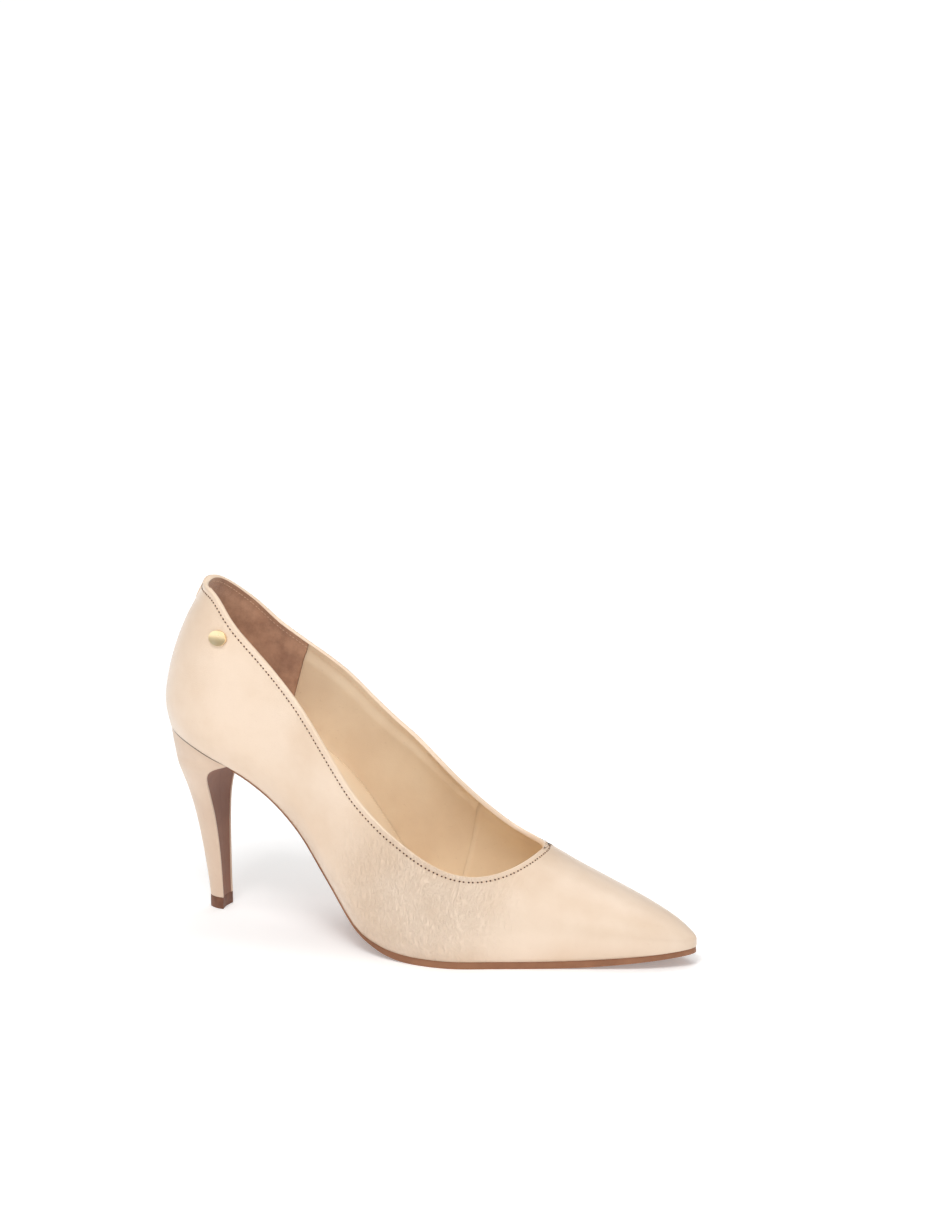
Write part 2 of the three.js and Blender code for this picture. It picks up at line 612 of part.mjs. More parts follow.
function buildBottom() {
  const seatHoles = nailPlaces.map(([x, y]) => driven(x, y, nail, fastenerGap));
  const screwHole = driven(screw.station, 0, screw, fastenerGap);
  const rivetHoles = rivetStations.map((x) => rivetAt(x, fastenerGap));
  const insole = bedSheet(insoleEdges(boardInset), boardLow, boardHigh);
  add('insole_board', cut(insole, ...seatHoles, screwHole, ...rivetHoles), board);
  add('insole_foam', bedSheet(insoleEdges(foamInset), foamLow, foamHigh), latex);
  add('sock_liner', bedSheet(insoleEdges(sockInset), sockLow, sockHigh), sockLeather);

  const shankHigh = boardLow - bedGap;
  const shankEnds = [shankStart, shankStart + 3, shankEnd - 3, shankEnd];
  const between = bottomStations.filter((x) => x > shankEnds[1] + 1 && x < shankEnds[2] - 1);
  const shankColumns = [...shankEnds, ...between];
  const shankEdges = shankColumns.sort((a, b) => a - b).map((x) => {
    const width = shankHalfWidth * (x === shankStart || x === shankEnd ? 0.6 : 1);
    return [outer, inner].map((side) => new THREE.Vector2(x, shankMiddle(x) + side * width));
  });
  const shank = bedSheet(shankEdges, shankHigh - shankThickness, shankHigh);
  add('shank', cut(shank, screwHole, ...rivetHoles), steel);
  for (const [i, x] of rivetStations.entries()) add(`shank_rivet_${i + 1}`, rivetAt(x), steel);

  const fillerInset = lastingMargin + fillerClearance;
  const fillerStations = bottomStations.filter((x) => x > shankEnd + 2 && x < shoeLength - 42);
  const filler = fillerStations.map((station) => [outer, inner].map((side) =>
    rimPoint(side, turnOf(station), fillerInset)));
  add('forepart_filler', bedSheet(filler, bedGap, boardLow - bedGap), felt);

  const soleDrop = (at) => -lerp(waistSoleThickness, soleThickness, smoothstep(at.x, 95, 125));
  const soleRest = bottomStations.filter((station) => station > soleTongueStart + 1);
  const soleStations = [soleTongueStart, ...soleRest];
  const sole = soleStations.map((station) => [outer, inner].map((side) =>
    rimPoint(side, turnOf(station), soleInset + (station < seatFront + 1 ? soleTongueInset : 0))));
  add('outsole', bedSheet(sole, soleDrop, -bedGap), soleResin);
}

// ---- Heel: core, leather cover, breast cover, top lift and fixings ----
const heelBack = profile([[0, 17.2], [0.07, 16.9], [0.2, 15.5], [0.355, 13.4], [0.485, 11.4], [0.615, 9],
  [0.745, 6.4], [0.85, 4.1], [0.935, 2.9], [1, 2.2]].map(([share, x]) => [share * seatHeight, x]));
const heelBreast = profile([[0, 25.7], [0.3, 24.8], [0.5, 24], [0.62, 23.7], [0.71, 24.4], [0.765, 26],
  [0.797, 28.5], [0.82, 32], [0.838, 36], [0.85, seatFront], [1, seatFront]]
  .map(([share, x]) => [share * seatHeight, x]));
const heelSpread = profile([[0, 0], [0.1, 0], [0.3, 0.05], [0.45, 0.135], [0.56, 0.25], [0.66, 0.43],
  [0.75, 0.68], [0.82, 0.88], [0.88, 0.98], [0.94, 1], [1, 1]]
  .map(([share, width]) => [share * seatHeight, width]));
const seatTurn = turnOf(seatFront);

// The heel's outline at a height: u from -1 at the outer breast corner round the back to 1.
function heelPoint(u, z, innerInset = 0) {
  const inset = heelInset + innerInset;
  const rim = rimPoint(u < 0 ? outer : inner, Math.abs(u) * seatTurn);
  const back = heelBack(z);
  const breast = heelBreast(z);
  const spread = heelSpread(z);
  const depthShare = clamp((rim.x - backLine(0)) / (seatFront - backLine(0)), 0, 1);
  const halfSpan = lerp(heelTipHalfWidth, rounded(seatFront, halfWidth(seatFront, outer)), spread);
  const y = halfSpan * rim.y / rounded(seatFront, halfWidth(seatFront, outer));
  const insetX = (breast - back - 2 * inset) / (breast - back);
  const insetY = (halfSpan - inset) / halfSpan;
  const middle = (back + breast) / 2;
  const x = middle + (lerp(back, breast, depthShare) - middle) * insetX;
  return new THREE.Vector3(x, heelTipShift * (1 - spread) + y * insetY, z);
}

// The height at which an upright line of the heel reaches the bed, less a gap.
function heelTop(pointAt, gap) {
  let z = 0.9 * seatHeight;
  for (let i = 0; i < 30; i++) {
    const point = pointAt(z);
    z = lerp(z, bedHeight(point.x, point.y) - gap, 0.5);
  }
  return z;
}

const heelFoot = topLiftHeight + pieceGap;
const heelRows = 13;
const heelColumns = 16;

function breastPoint(c, z, inset) {
  const [from, to] = [heelPoint(-1, z, inset), heelPoint(1, z, inset)];
  const point = from.lerp(to, (1 + c) / 2);
  return point.setX(point.x - breastHollow * (1 - c * c));
}

function heelSkin(pointAt, gap) {
  return (u, v) => {
    const top = heelTop((z) => pointAt(u, z), gap);
    return pointAt(u, lerp(heelFoot, top, 1 - (1 - v) ** 1.3));
  };
}

// Points of a skin with their outward directions, from its own neighbouring points.
function skinPatch(skin, columns, rows, from, to, facing) {
  return Array.from({ length: columns + 1 }, (_, i) => Array.from({ length: rows + 1 }, (_unused, j) => {
    const u = lerp(from, to, i / columns);
    const v = j / rows;
    const step = 1e-3;
    const across = skin(Math.min(u + step, to), v).sub(skin(Math.max(u - step, from), v));
    const upward = skin(u, Math.min(v + step, 1)).sub(skin(u, Math.max(v - step, 0)));
    return { at: skin(u, v), out: across.cross(upward).multiplyScalar(facing).normalize() };
  }));
}

function buildHeel() {
  const underSole = waistSoleThickness + bedGap;
  const ringAt = (v) => {
    const sides = Array.from({ length: heelColumns + 1 }, (_, i) => -1 + 2 * i / heelColumns);
    const side = heelSkin((u, z) => heelPoint(u, z, heelCoreInset), bedGap);
    const front = heelSkin((c, z) => breastPoint(c, z, heelCoreInset), bedGap);
    return [...sides.map((u) => side(u, v)), front(0.5, v), front(0, v), front(-0.5, v)];
  };
  const core = loft(Array.from({ length: heelRows + 1 }, (_, j) => ringAt(j / heelRows)));
  const slotEdges = [soleTongueStart - pieceGap, seatFront + 12, seatFront + 32].map((x) =>
    [outer, inner].map((side) => new THREE.Vector2(x, side * 2 * seatHalfWidth)));
  const slot = bedSheet(slotEdges, -underSole, 6, 1);
  const footMiddle = (heelBack(heelFoot) + heelBreast(heelFoot)) / 2;
  const tubeFoot = new THREE.Vector3(footMiddle, heelTipShift, heelFoot + pieceGap);
  const tubeHead = tubeFoot.z + tubeLength;
  const headShift = heelTipShift * (1 - heelSpread(tubeHead));
  const tubeTop = new THREE.Vector3((heelBack(tubeHead) + heelBreast(tubeHead)) / 2, headShift, tubeHead);
  const tubeLine = tubeTop.clone().sub(tubeFoot).normalize();
  const boreFoot = tubeFoot.clone().addScaledVector(tubeLine, -boreOverrun);
  const boreLength = tubeLength + boreOverrun + fastenerGap;
  const bore = turned(boreFoot, tubeLine,
    [[0, tubeRadius + fastenerGap], [boreLength, tubeRadius + fastenerGap]]);
  const nailHoles = nailPlaces.map(([x, y]) => driven(x, y, nail, fastenerGap));
  const screwHole = driven(screw.station, 0, screw, fastenerGap);
  add('heel_core', cut(core, slot, bore, ...nailHoles, screwHole), heelPlastic);

  const coverSkin = heelSkin((u, z) => heelPoint(u, z), coverTopGap);
  const cover = skinPatch(coverSkin, heelColumns, heelRows, -1, 1, -1);
  add('heel_cover', shell([cover], -heelCoverThickness, 0), leather);
  const breastSkin = heelSkin((c, z) => breastPoint(0.999 * c, z, heelCoverThickness + layerGap), underSole);
  const breast = skinPatch(breastSkin, 4, heelRows, -1, 1, 1);
  add('breast_cover', shell([breast], layerGap, layerGap + breastCoverThickness), breastLeather);

  const tubeOuter = turned(tubeFoot, tubeLine, [[0, tubeRadius], [tubeLength, tubeRadius]]);
  const tubeBore = turned(tubeFoot.clone().addScaledVector(tubeLine, -1), tubeLine,
    [[0, tubeRadius - tubeWall], [tubeLength + 2, tubeRadius - tubeWall]]);
  add('heel_tube', cut(tubeOuter, tubeBore), steel);
  const pinFoot = tubeFoot.clone().addScaledVector(tubeLine, -pinDepth - pieceGap);
  const pinRadius = tubeRadius - tubeWall - fastenerGap;
  const pin = (gap) => turned(pinFoot.clone().addScaledVector(tubeLine, -gap), tubeLine,
    [[0, pinRadius + gap], [pinLength, pinRadius + gap]]);
  add('top_lift_pin', pin(0), steel);

  const liftRing = (z) => ringAtFoot().map((point) => point.clone().setZ(z));
  const ringAtFoot = () => [
    ...Array.from({ length: heelColumns + 1 }, (_, i) => heelPoint(-1 + 2 * i / heelColumns, heelFoot)),
    ...[0.5, 0, -0.5].map((c) => breastPoint(c, heelFoot, 0)),
  ];
  add('top_lift', cut(loft([liftRing(0), liftRing(topLiftHeight)]), pin(fastenerGap)), liftRubber);
  for (const [i, [x, y]] of nailPlaces.entries()) add(`heel_nail_${i + 1}`, driven(x, y, nail), steel);
  add('heel_screw', driven(screw.station, 0, screw), steel);
}

buildUpper();
buildBackTab();
buildBadge();
buildStiffeners();
buildLinings();
buildBottom();
buildHeel();

// The origin goes to the middle of the shoe's footprint, on the floor.
const bounds = new THREE.Box3().setFromObject(shoe);
const middle = bounds.getCenter(new THREE.Vector3());
shoe.position.set(-middle.x, -middle.y, -bounds.min.z);
const part = new THREE.Group();
part.add(shoe);

export default part;
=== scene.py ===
import math

import bmesh
import bpy
import numpy as np
from mathutils import Matrix, Vector
from mathutils.bvhtree import BVHTree
from mathutils.kdtree import KDTree


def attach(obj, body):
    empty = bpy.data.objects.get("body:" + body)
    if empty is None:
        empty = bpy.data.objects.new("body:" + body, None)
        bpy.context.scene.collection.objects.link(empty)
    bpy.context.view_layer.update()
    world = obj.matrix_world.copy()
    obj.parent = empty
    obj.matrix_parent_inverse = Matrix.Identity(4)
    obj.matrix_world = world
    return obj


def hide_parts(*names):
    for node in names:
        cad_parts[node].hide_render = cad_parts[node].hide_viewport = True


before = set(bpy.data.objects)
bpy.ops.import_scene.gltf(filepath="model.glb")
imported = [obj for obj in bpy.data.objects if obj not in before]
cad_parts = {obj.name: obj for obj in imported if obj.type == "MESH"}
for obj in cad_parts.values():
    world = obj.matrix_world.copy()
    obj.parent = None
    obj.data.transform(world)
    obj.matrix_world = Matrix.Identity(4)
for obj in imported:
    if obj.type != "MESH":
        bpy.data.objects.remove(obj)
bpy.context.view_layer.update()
print("frame loaded:", len(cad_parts), "pieces")

mm = 0.001
seatBack = np.array((-120.304, 4.614, 0.0))  # the back of the seat in the frame, in millimetres
outer, inner = -1, 1  # the sides, by the sign of y

# The last's shape, in millimetres: x forward from the back of the seat, +y to the inner side.
last = {
    "length": 240, "seatHeight": 84.5, "soleThickness": 3.3, "waistSole": 1.0,
    "toeSpring": 4.7, "waistRise": 6, "seatHalf": 23.6, "waistHalf": 21,
    "outerBall": 42.3, "innerBall": 32.6, "heelRound": 35, "toeRadius": 5, "toeBlend": 25,
    "noseLength": 11, "noseHeight": 3.5, "throat": 171.5, "squareness": 7.3,
    "lowerShare": 0.25, "backFade": 70, "foldHeight": 3.8, "lastingMargin": 9, "toeMargin": 4.6,
    "sideSeam": 129, "seamLean": 20, "leanReach": 72,
    "gripEnd": 56, "gripLean": 20, "gripReach": 54,
}


def profile(points):
    xs, ys = np.array(points, float).T
    slopes = np.diff(ys) / np.diff(xs)
    tangents = np.concatenate((slopes[:1], (slopes[1:] + slopes[:-1]) / 2, slopes[-1:]))

    def curve(value):
        x = np.clip(value, xs[0], xs[-1])
        i = np.clip(np.searchsorted(xs, x, side="right") - 1, 0, len(xs) - 2)
        span = xs[i + 1] - xs[i]
        u = (x - xs[i]) / span
        start = (1 + 2 * u) * (1 - u) ** 2 * ys[i] + u * (1 - u) ** 2 * span * tangents[i]
        end = u * u * (3 - 2 * u) * ys[i + 1] - u * u * (1 - u) * span * tangents[i + 1]
        return start + end
    return curve


def along(points):
    return profile([(share * last["length"], value) for share, value in points])


ball = {"outer": last["outerBall"], "inner": last["innerBall"]}
seat = last["seatHalf"]
heelRise = last["seatHeight"] - last["soleThickness"]
arch = along([(0, 1), (.1, .91), (.2, .78), (.3, .545), (.36, .32), (.42, .1), (.47, .03),
              (.52, .004), (.57, 0), (1, 0)])
waistRise = along([(0, 0), (.12, 0), (.33, last["waistRise"]), (.47, .1 * last["waistRise"]),
                   (.53, 0), (1, 0)])
outerHalf = along([(0, seat), (.125, seat + 1.4), (.25, seat + 1.1)]
                  + [(s, w * ball["outer"]) for s, w in ((.375, .75), (.49, .955), (.6, 1), (.69, .815),
                     (.77, .625), (.855, .435), (.94, .22), (1, 0))])
innerHalf = along([(0, seat), (.125, seat + 1.4), (.25, last["waistHalf"]), (.375, last["waistHalf"])]
                  + [(s, w * ball["inner"]) for s, w in ((.5, .76), (.6, 1), (.69, 1.02), (.77, .84),
                     (.855, .61), (.94, .27), (1, 0))])
bulge = along([(0, 3.5), (.4, 5), (.6, 4), (.8, 3), (.93, 2), (1, .5)])
bulgeHeight = along([(0, 16), (.45, 15), (.6, 12.5), (.8, 10), (.93, 6), (1, 2.5)])
crownBase = along([(0, 110.8), (.17, 108.2), (.33, 103.5), (.5, 79.4), (.62, 55), (.73, 41), (.83, 31),
                   (.92, 22.8), (1, 14)])
crownShare = along([(0, 1), (.17, .86), (.33, .45), (.5, .05), (.62, 0), (.73, 0), (.83, 0), (.92, 0),
                    (1, 0)])
ridgeShift = along([(0, 0), (.25, 0), (.375, -3), (.5, -5), (.6, -2.5), (.7, -.5), (.8, .5), (1, 0)])
squareness = along([(0, 1.7), (.18, 2.1), (.35, 2.7), (.6, 2), (1, 2)])
outerOpening = along([(0, 56.5), (.09, 55.5), (.18, 60.8), (.35, 62.5), (.53, 61), (.75, 77)])
innerOpening = along([(0, 56.5), (.09, 63), (.18, 66.8), (.35, 59.5), (.53, 39), (.75, 60.5)])
backLine = profile([(0, 2.2), (10, .6), (22, 2.1), (35, 5.8), (48, 11.3), (60, 18), (66, 21)])


def stationOf(turn):
    return last["length"] * (1 - np.cos(np.pi * turn)) / 2


def turnOf(station):
    return np.arccos(np.clip(1 - 2 * station / last["length"], -1, 1)) / np.pi


def bySide(side, outerValue, innerValue):
    return np.where(side < 0, outerValue, innerValue)


def halfWidth(station, side):
    return bySide(side, outerHalf(station), innerHalf(station))


def backFade(station):
    return np.clip(1 - station / last["backFade"], 0, 1) ** 2


def smooth(value, low, high):
    t = np.clip((value - low) / (high - low), 0, 1)
    return t * t * (3 - 2 * t)


def mix(a, b, share):
    return a + (b - a) * share


def unit(vectors):
    return vectors / np.maximum(np.linalg.norm(vectors, axis=-1, keepdims=True), 1e-12)


def rounded(station, width):
    fromBack = np.clip(station / last["heelRound"], 0, 1)
    fromToe = np.maximum(last["length"] - station, 0)
    toeRound = 2 * last["toeRadius"] * fromToe * np.exp(-fromToe / last["toeBlend"])
    wide = np.where(fromToe > 0, width, 0)
    return np.sqrt(1 - (1 - fromBack) ** 2) * np.sqrt(wide ** 2 + toeRound)


def featherHeight(station, side):
    toeShare = np.clip((station / last["length"] - .74) / .26, 0, 1)
    rise = bySide(side, 0, np.maximum(waistRise(station), 0))
    lift = heelRise * np.maximum(arch(station), 0)
    return last["soleThickness"] + lift + last["toeSpring"] * toeShare ** 1.6 + rise


def crownHeight(station):
    fromToe = np.clip((last["length"] - station) / last["noseLength"], 0, 1)
    nose = featherHeight(station, np.full_like(station, outer)) + last["noseHeight"]
    crown = crownBase(station) + heelRise * crownShare(station)
    return nose + (crown - nose) * np.sqrt(1 - (1 - fromToe) ** 2)


def upperPoint(side, turn, level):
    flip = (turn < 0) ^ (turn > 1) ^ (level > 1)
    side = np.where(flip, -side, side)
    turn = np.where(turn < 0, -turn, np.where(turn > 1, 2 - turn, turn))
    level = np.where(level > 1, 2 - level, level)
    station = stationOf(turn)
    foot = rounded(station, halfWidth(station, side))
    widest = rounded(station, halfWidth(station, side) + bulge(station))
    base = featherHeight(station, side)
    crown = crownHeight(station) - base
    widestHeight = np.minimum(bulgeHeight(station), .6 * crown)
    share = level / last["lowerShare"]
    lowY = side * (widest - (widest - foot) * (1 - share) ** 2)
    angle = np.pi / 2 * np.clip((level - last["lowerShare"]) / (1 - last["lowerShare"]), 0, 1)
    power = squareness(station)
    radius = (np.abs(np.cos(angle)) ** power + np.sin(angle) ** power) ** (-1 / power)
    ends = np.clip(station / last["heelRound"], 0, 1) * np.clip((last["length"] - station) / 20, 0, 1)
    ridge = ridgeShift(station) * ends
    highY = ridge + (side * widest - ridge) * radius * np.cos(angle)
    highZ = widestHeight + (crown - widestHeight) * radius * np.sin(angle)
    low = level < last["lowerShare"]
    height = np.where(low, widestHeight * share, highZ)
    x = station + backLine(height) * backFade(station)
    return np.stack((x, np.where(low, lowY, highY), base + height), -1)


def upperNormal(side, turn, level):
    step = 1e-4
    forward = upperPoint(side, turn + step, level) - upperPoint(side, turn - step, level)
    upward = upperPoint(side, turn, level + step) - upperPoint(side, turn, np.maximum(level - step, 0))
    normal = unit(np.cross(forward, upward) * -side[:, None])
    normal[turn > 1 - 1e-6] = (1, 0, 0)
    normal[turn < 1e-6, 1] = 0
    return unit(normal)


def toplineLevel(side, station):
    opening = bySide(side, outerOpening(station), innerOpening(station))
    share = np.clip(station / last["throat"], 0, 1)
    angle = 90 - opening * np.sqrt(np.maximum(1 - share ** last["squareness"], 0))
    return last["lowerShare"] + (1 - last["lowerShare"]) * angle / 90


def rimAt(side, turn):
    flip = (turn < 0) | (turn > 1)
    u = np.where(turn < 0, -turn, np.where(turn > 1, 2 - turn, turn))
    s = np.where(flip, -side, side)
    station = stationOf(u)
    y = s * rounded(station, halfWidth(station, s))
    return np.stack((station + backLine(0) * backFade(station), y), -1)


def rimPoint(side, turn, inset=0):
    run = unit(rimAt(side, turn + 1e-4) - rimAt(side, turn - 1e-4))
    inward = np.stack((side * run[:, 1], -side * run[:, 0]), -1)
    return rimAt(side, turn) + inward * np.reshape(np.broadcast_to(inset, side.shape), (-1, 1))


def stationUnder(x):
    station = x
    for _ in range(5):
        station = x - backLine(0) * backFade(station)
    return np.clip(station, 0, last["length"])


def bedHeight(x, y):
    station = stationUnder(x)
    width = outerHalf(station) + innerHalf(station)
    share = np.clip((y + outerHalf(station)) / np.maximum(width, 1e-9), 0, 1)
    sides = np.ones_like(station)
    return mix(featherHeight(station, outer * sides), featherHeight(station, inner * sides), share)


def bedNormal(x):
    middle = np.zeros_like(x)
    slope = bedHeight(x + .5, middle) - bedHeight(x - .5, middle)
    return unit(np.stack((-slope, middle, np.ones_like(x)), -1))


def onBed(x, y, height=0):
    spot = np.stack((x, y, bedHeight(x, y)), -1)
    return spot + bedNormal(x) * np.reshape(np.broadcast_to(height, x.shape), (-1, 1))


def lean(station, centre, reach):
    return (1 - np.minimum(((station - centre) / reach) ** 2, 1)) ** 2


def leanedStation(side, station, share):
    atSeam = last["seamLean"] * lean(station, last["sideSeam"], last["leanReach"])
    atGrip = last["gripLean"] * lean(station, last["gripEnd"], last["gripReach"])
    return station - (1 - share) * (atGrip + np.where(side < 0, 0, atSeam))


def wallVertex(side, column, share):
    station = leanedStation(side, column, np.maximum(share, 0))
    turn = turnOf(station)
    level = np.maximum(share, 0) * toplineLevel(side, column)
    at = upperPoint(side, turn, level)
    down = -bedNormal(rimPoint(side, turn)[:, 0])
    fold = np.clip(1 - (at[:, 2] - featherHeight(station, side)) / last["foldHeight"], 0, 1)[:, None]
    normal = upperNormal(side, turn, level)
    out = (normal + fold * down) / (1 + fold * np.sum(normal * down, -1, keepdims=True))
    room = np.maximum(.55 * halfWidth(station, side), last["toeMargin"])
    plan = rimPoint(side, turn, np.minimum(last["lastingMargin"], room) * np.maximum(-share, 0))
    under = (share < 0)[:, None]
    at = np.where(under, onBed(plan[:, 0], plan[:, 1]), at)
    out = np.where(under, -bedNormal(plan[:, 0]), out)
    return at, out


def toplinePath(pitch=.4, count=700):
    stations = last["throat"] * (1 - np.cos(np.pi * np.linspace(0, 1, count))) / 2
    side = np.concatenate((np.full(count, outer), np.full(count - 2, inner))).astype(float)
    station = np.concatenate((stations, stations[-2:0:-1]))
    turn, level = turnOf(station), toplineLevel(side, station)
    points, normals = upperPoint(side, turn, level), upperNormal(side, turn, level)
    loop = np.vstack((points, points[:1]))
    reach = np.concatenate(([0], np.cumsum(np.linalg.norm(np.diff(loop, axis=0), axis=1))))
    steps = np.linspace(0, reach[-1], int(reach[-1] / pitch) + 1)[:-1]
    sample = lambda rows: np.stack([np.interp(steps, reach, np.append(c, c[0])) for c in rows.T], -1)
    at, normal = sample(points), unit(sample(normals))
    run = unit(np.roll(at, -1, 0) - np.roll(at, 1, 0))
    down = unit(np.cross(normal, run))
    down = down if down[0, 2] < 0 else -down
    return {"at": at, "normal": normal, "run": run, "down": down, "step": reach[-1] / len(steps)}


topline = toplinePath()
toplineTree = KDTree(len(topline["at"]))
for index, point in enumerate(topline["at"]):
    toplineTree.insert(point, index)
toplineTree.balance()


def edgeDistance(points):
    return np.array([toplineTree.find(point)[2] for point in points])


farFromEdge = 20.0  # for surfaces whose edge has no line of its own


def gridMesh(across, up, shape):
    bm = bmesh.new()
    bmesh.ops.create_grid(bm, x_segments=across, y_segments=up, size=.5)
    spots = np.array([vert.co for vert in bm.verts])[:, :2]
    shares = (spots - spots.min(0)) / (spots.max(0) - spots.min(0))
    columns = np.rint(shares[:, 0] * across).astype(int)
    rows = np.rint(shares[:, 1] * up).astype(int)
    points, distances = shape(columns, rows)
    layer = bm.verts.layers.float.new("edgeDistance")
    for vert, point, distance in zip(bm.verts, (points + seatBack) * mm, distances):
        vert.co = point
        vert[layer] = distance
    bmesh.ops.remove_doubles(bm, verts=bm.verts, dist=2e-6)
    bmesh.ops.dissolve_degenerate(bm, edges=bm.edges, dist=1e-7)
    return bm


def faceAway(bm, fromPoint):
    bm.normal_update()
    total = sum(face.normal.dot(face.calc_center_median() - fromPoint(face.calc_center_median()))
                * face.calc_area() for face in bm.faces)
    if total < 0:
        bmesh.ops.reverse_faces(bm, faces=bm.faces)


def addPiece(name, bm, material, nodes=(), crease=math.pi):
    for edge in bm.edges:
        edge.smooth = len(edge.link_faces) != 2 or edge.calc_face_angle() < crease
    mesh = bpy.data.meshes.new(name)
    bm.to_mesh(mesh)
    bm.free()
    for polygon in mesh.polygons:
        polygon.use_smooth = True
    piece = bpy.data.objects.new(name, mesh)
    bpy.context.scene.collection.objects.link(piece)
    mesh.materials.append(material)
    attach(piece, "root")
    if nodes:
        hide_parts(*nodes)
    return piece


def thicken(piece, thickness, edge=0, segments=2):
    wall = piece.modifiers.new("wall", "SOLIDIFY")
    wall.thickness = thickness * mm
    wall.offset = -1
    if edge:
        roundEdge = piece.modifiers.new("edge", "BEVEL")
        roundEdge.width = edge * mm
        roundEdge.segments = segments
        roundEdge.limit_method = "ANGLE"
        roundEdge.angle_limit = math.radians(60)
    return piece


midline = lambda centre: Vector((centre.x, seatBack[1] * mm, centre.z - .02))


def backColumns(count=84):
    return last["throat"] * (1 - np.cos(np.pi * np.arange(count + 1) / count)) / 2


def foreColumns(count=52):
    return mix(last["throat"], last["length"], (1 - np.cos(np.pi * np.arange(1, count + 1) / count)) / 2)


def stretch(start, end):
    every = np.concatenate((backColumns(), foreColumns()))
    inside = every[(every > start + .2) & (every < end - .2)]
    return np.concatenate(([start], inside, [end]))


def wallRows(count=66, low=-1, high=1):
    t = np.linspace(1, 0, count + 1)
    shares = 1 - (.3 * t + .7 * np.expm1(3 * t) / math.expm1(3))
    shares = np.concatenate(([-1, -.6, -.3, -.1], shares))
    kept = shares[(shares > low + 1e-3) & (shares < high - 1e-3)]
    return np.concatenate(([low], kept, [high]))


def wallSheet(name, sides, offset, low=-1, high=1, rows=66):
    side = np.concatenate([np.full(len(s), kind, float) for kind, s in sides])
    column = np.concatenate([s for _, s in sides])
    shares = wallRows(rows, low, high)

    def shape(i, j):
        at, out = wallVertex(side[i], column[i], shares[j])
        distance = edgeDistance(at)
        return at + out * offset(distance, column[i])[:, None], distance
    bm = gridMesh(len(column) - 1, len(shares) - 1, shape)
    faceAway(bm, midline)
    return bm


# A socket that takes part in sums.

class Wire:
    def __init__(self, finish, socket):
        self.finish, self.socket = finish, socket

    def sum(self, operation, *values):
        return self.finish.add("ShaderNodeMath", {"operation": operation}, dict(enumerate(values)))

    def __add__(self, other):
        return self.sum("ADD", self, other)

    def __rsub__(self, other):
        return self.sum("SUBTRACT", other, self)

    def __mul__(self, other):
        return self.sum("MULTIPLY", self, other)

    __radd__, __rmul__ = __add__, __mul__


def linear(red, green, blue):
    part = lambda c: c / 12.92 if c <= .04045 else ((c + .055) / 1.055) ** 2.4
    return (part(red / 255), part(green / 255), part(blue / 255), 1)


class Finish:
    def __init__(self, name):
        self.material = bpy.data.materials.new(name)
        self.material.use_nodes = True
        self.tree = self.material.node_tree
        self.shader = self.tree.nodes["Principled BSDF"]

    def add(self, kind, settings, inputs, output=0):
        node = self.tree.nodes.new(kind)
        for key, value in settings.items():
            if key == "stops":
                self.setStops(node.color_ramp, value)
            else:
                setattr(node, key, value)
        for key, value in inputs.items():
            self.join(node.inputs[key], value)
        return Wire(self, node.outputs[output])

    def setStops(self, ramp, stops):
        while len(ramp.elements) < len(stops):
            ramp.elements.new(.5)
        for element, (place, colour) in zip(ramp.elements, stops):
            element.position, element.color = place, colour

    def join(self, socket, value):
        if isinstance(value, Wire):
            self.tree.links.new(value.socket, socket)
        else:
            socket.default_value = value

    def place(self):
        return self.add("ShaderNodeTexCoord", {}, {}, "Object")

    def noise(self, scale, detail=3, rough=.5, where=None):
        return self.add("ShaderNodeTexNoise", {}, {
            "Vector": where or self.place(), "Scale": scale, "Detail": detail, "Roughness": rough}, "Fac")

    def cells(self, scale):
        return self.add("ShaderNodeTexVoronoi", {"feature": "DISTANCE_TO_EDGE"}, {
            "Vector": self.place(), "Scale": scale}, "Distance")

    def ramp(self, value, low, high):
        return self.add("ShaderNodeMapRange", {"interpolation_type": "SMOOTHSTEP"},
                        {"Value": value, "From Min": low, "From Max": high}, "Result")

    def blend(self, share, first, second):
        return self.add("ShaderNodeMix", {"data_type": "RGBA"}, {0: share, 6: first, 7: second}, 2)

    def attribute(self, name):
        return self.add("ShaderNodeAttribute", {"attribute_name": name}, {}, "Fac")

    def bump(self, height, strength, depth, over=None):
        inputs = {"Height": height, "Strength": strength, "Distance": depth}
        if over:
            inputs["Normal"] = over
        return self.add("ShaderNodeBump", {}, inputs, "Normal")

    def set(self, **values):
        names = {"colour": "Base Color", "rough": "Roughness", "metal": "Metallic", "normal": "Normal",
                 "coat": "Coat Weight", "coatRough": "Coat Roughness", "sheen": "Sheen Weight",
                 "sheenRough": "Sheen Roughness", "ior": "IOR"}
        for key, value in values.items():
            self.join(self.shader.inputs[names[key]], value)
        return self.material


def smoothLeather(name, pale, mid, deep, rough=.42, grain=.35, coat=.12, edge=None, band=(.1, .5)):
    f = Finish(name)
    cloud = f.noise(34, 4, .55)
    fine = f.noise(620, 3, .6)
    colour = f.blend(f.ramp(cloud, .35, .68), mid, pale)
    colour = f.blend(f.ramp(fine, .62, .8) * .22, colour, deep)
    if edge:
        colour = f.blend(1 - f.ramp(f.attribute("edgeDistance"), *band), colour, edge)
    pebbles = f.ramp(f.cells(1500), .0, .22)
    pores = f.ramp(f.noise(2600, 2, .6), .4, .75)
    height = pebbles * .6 + pores * .4 + fine * .5
    normal = f.bump(height, grain, .00006)
    return f.set(colour=colour, rough=f.noise(210, 3) * .16 + (rough - .08), normal=normal, coat=coat,
                 coatRough=.42, ior=1.48)


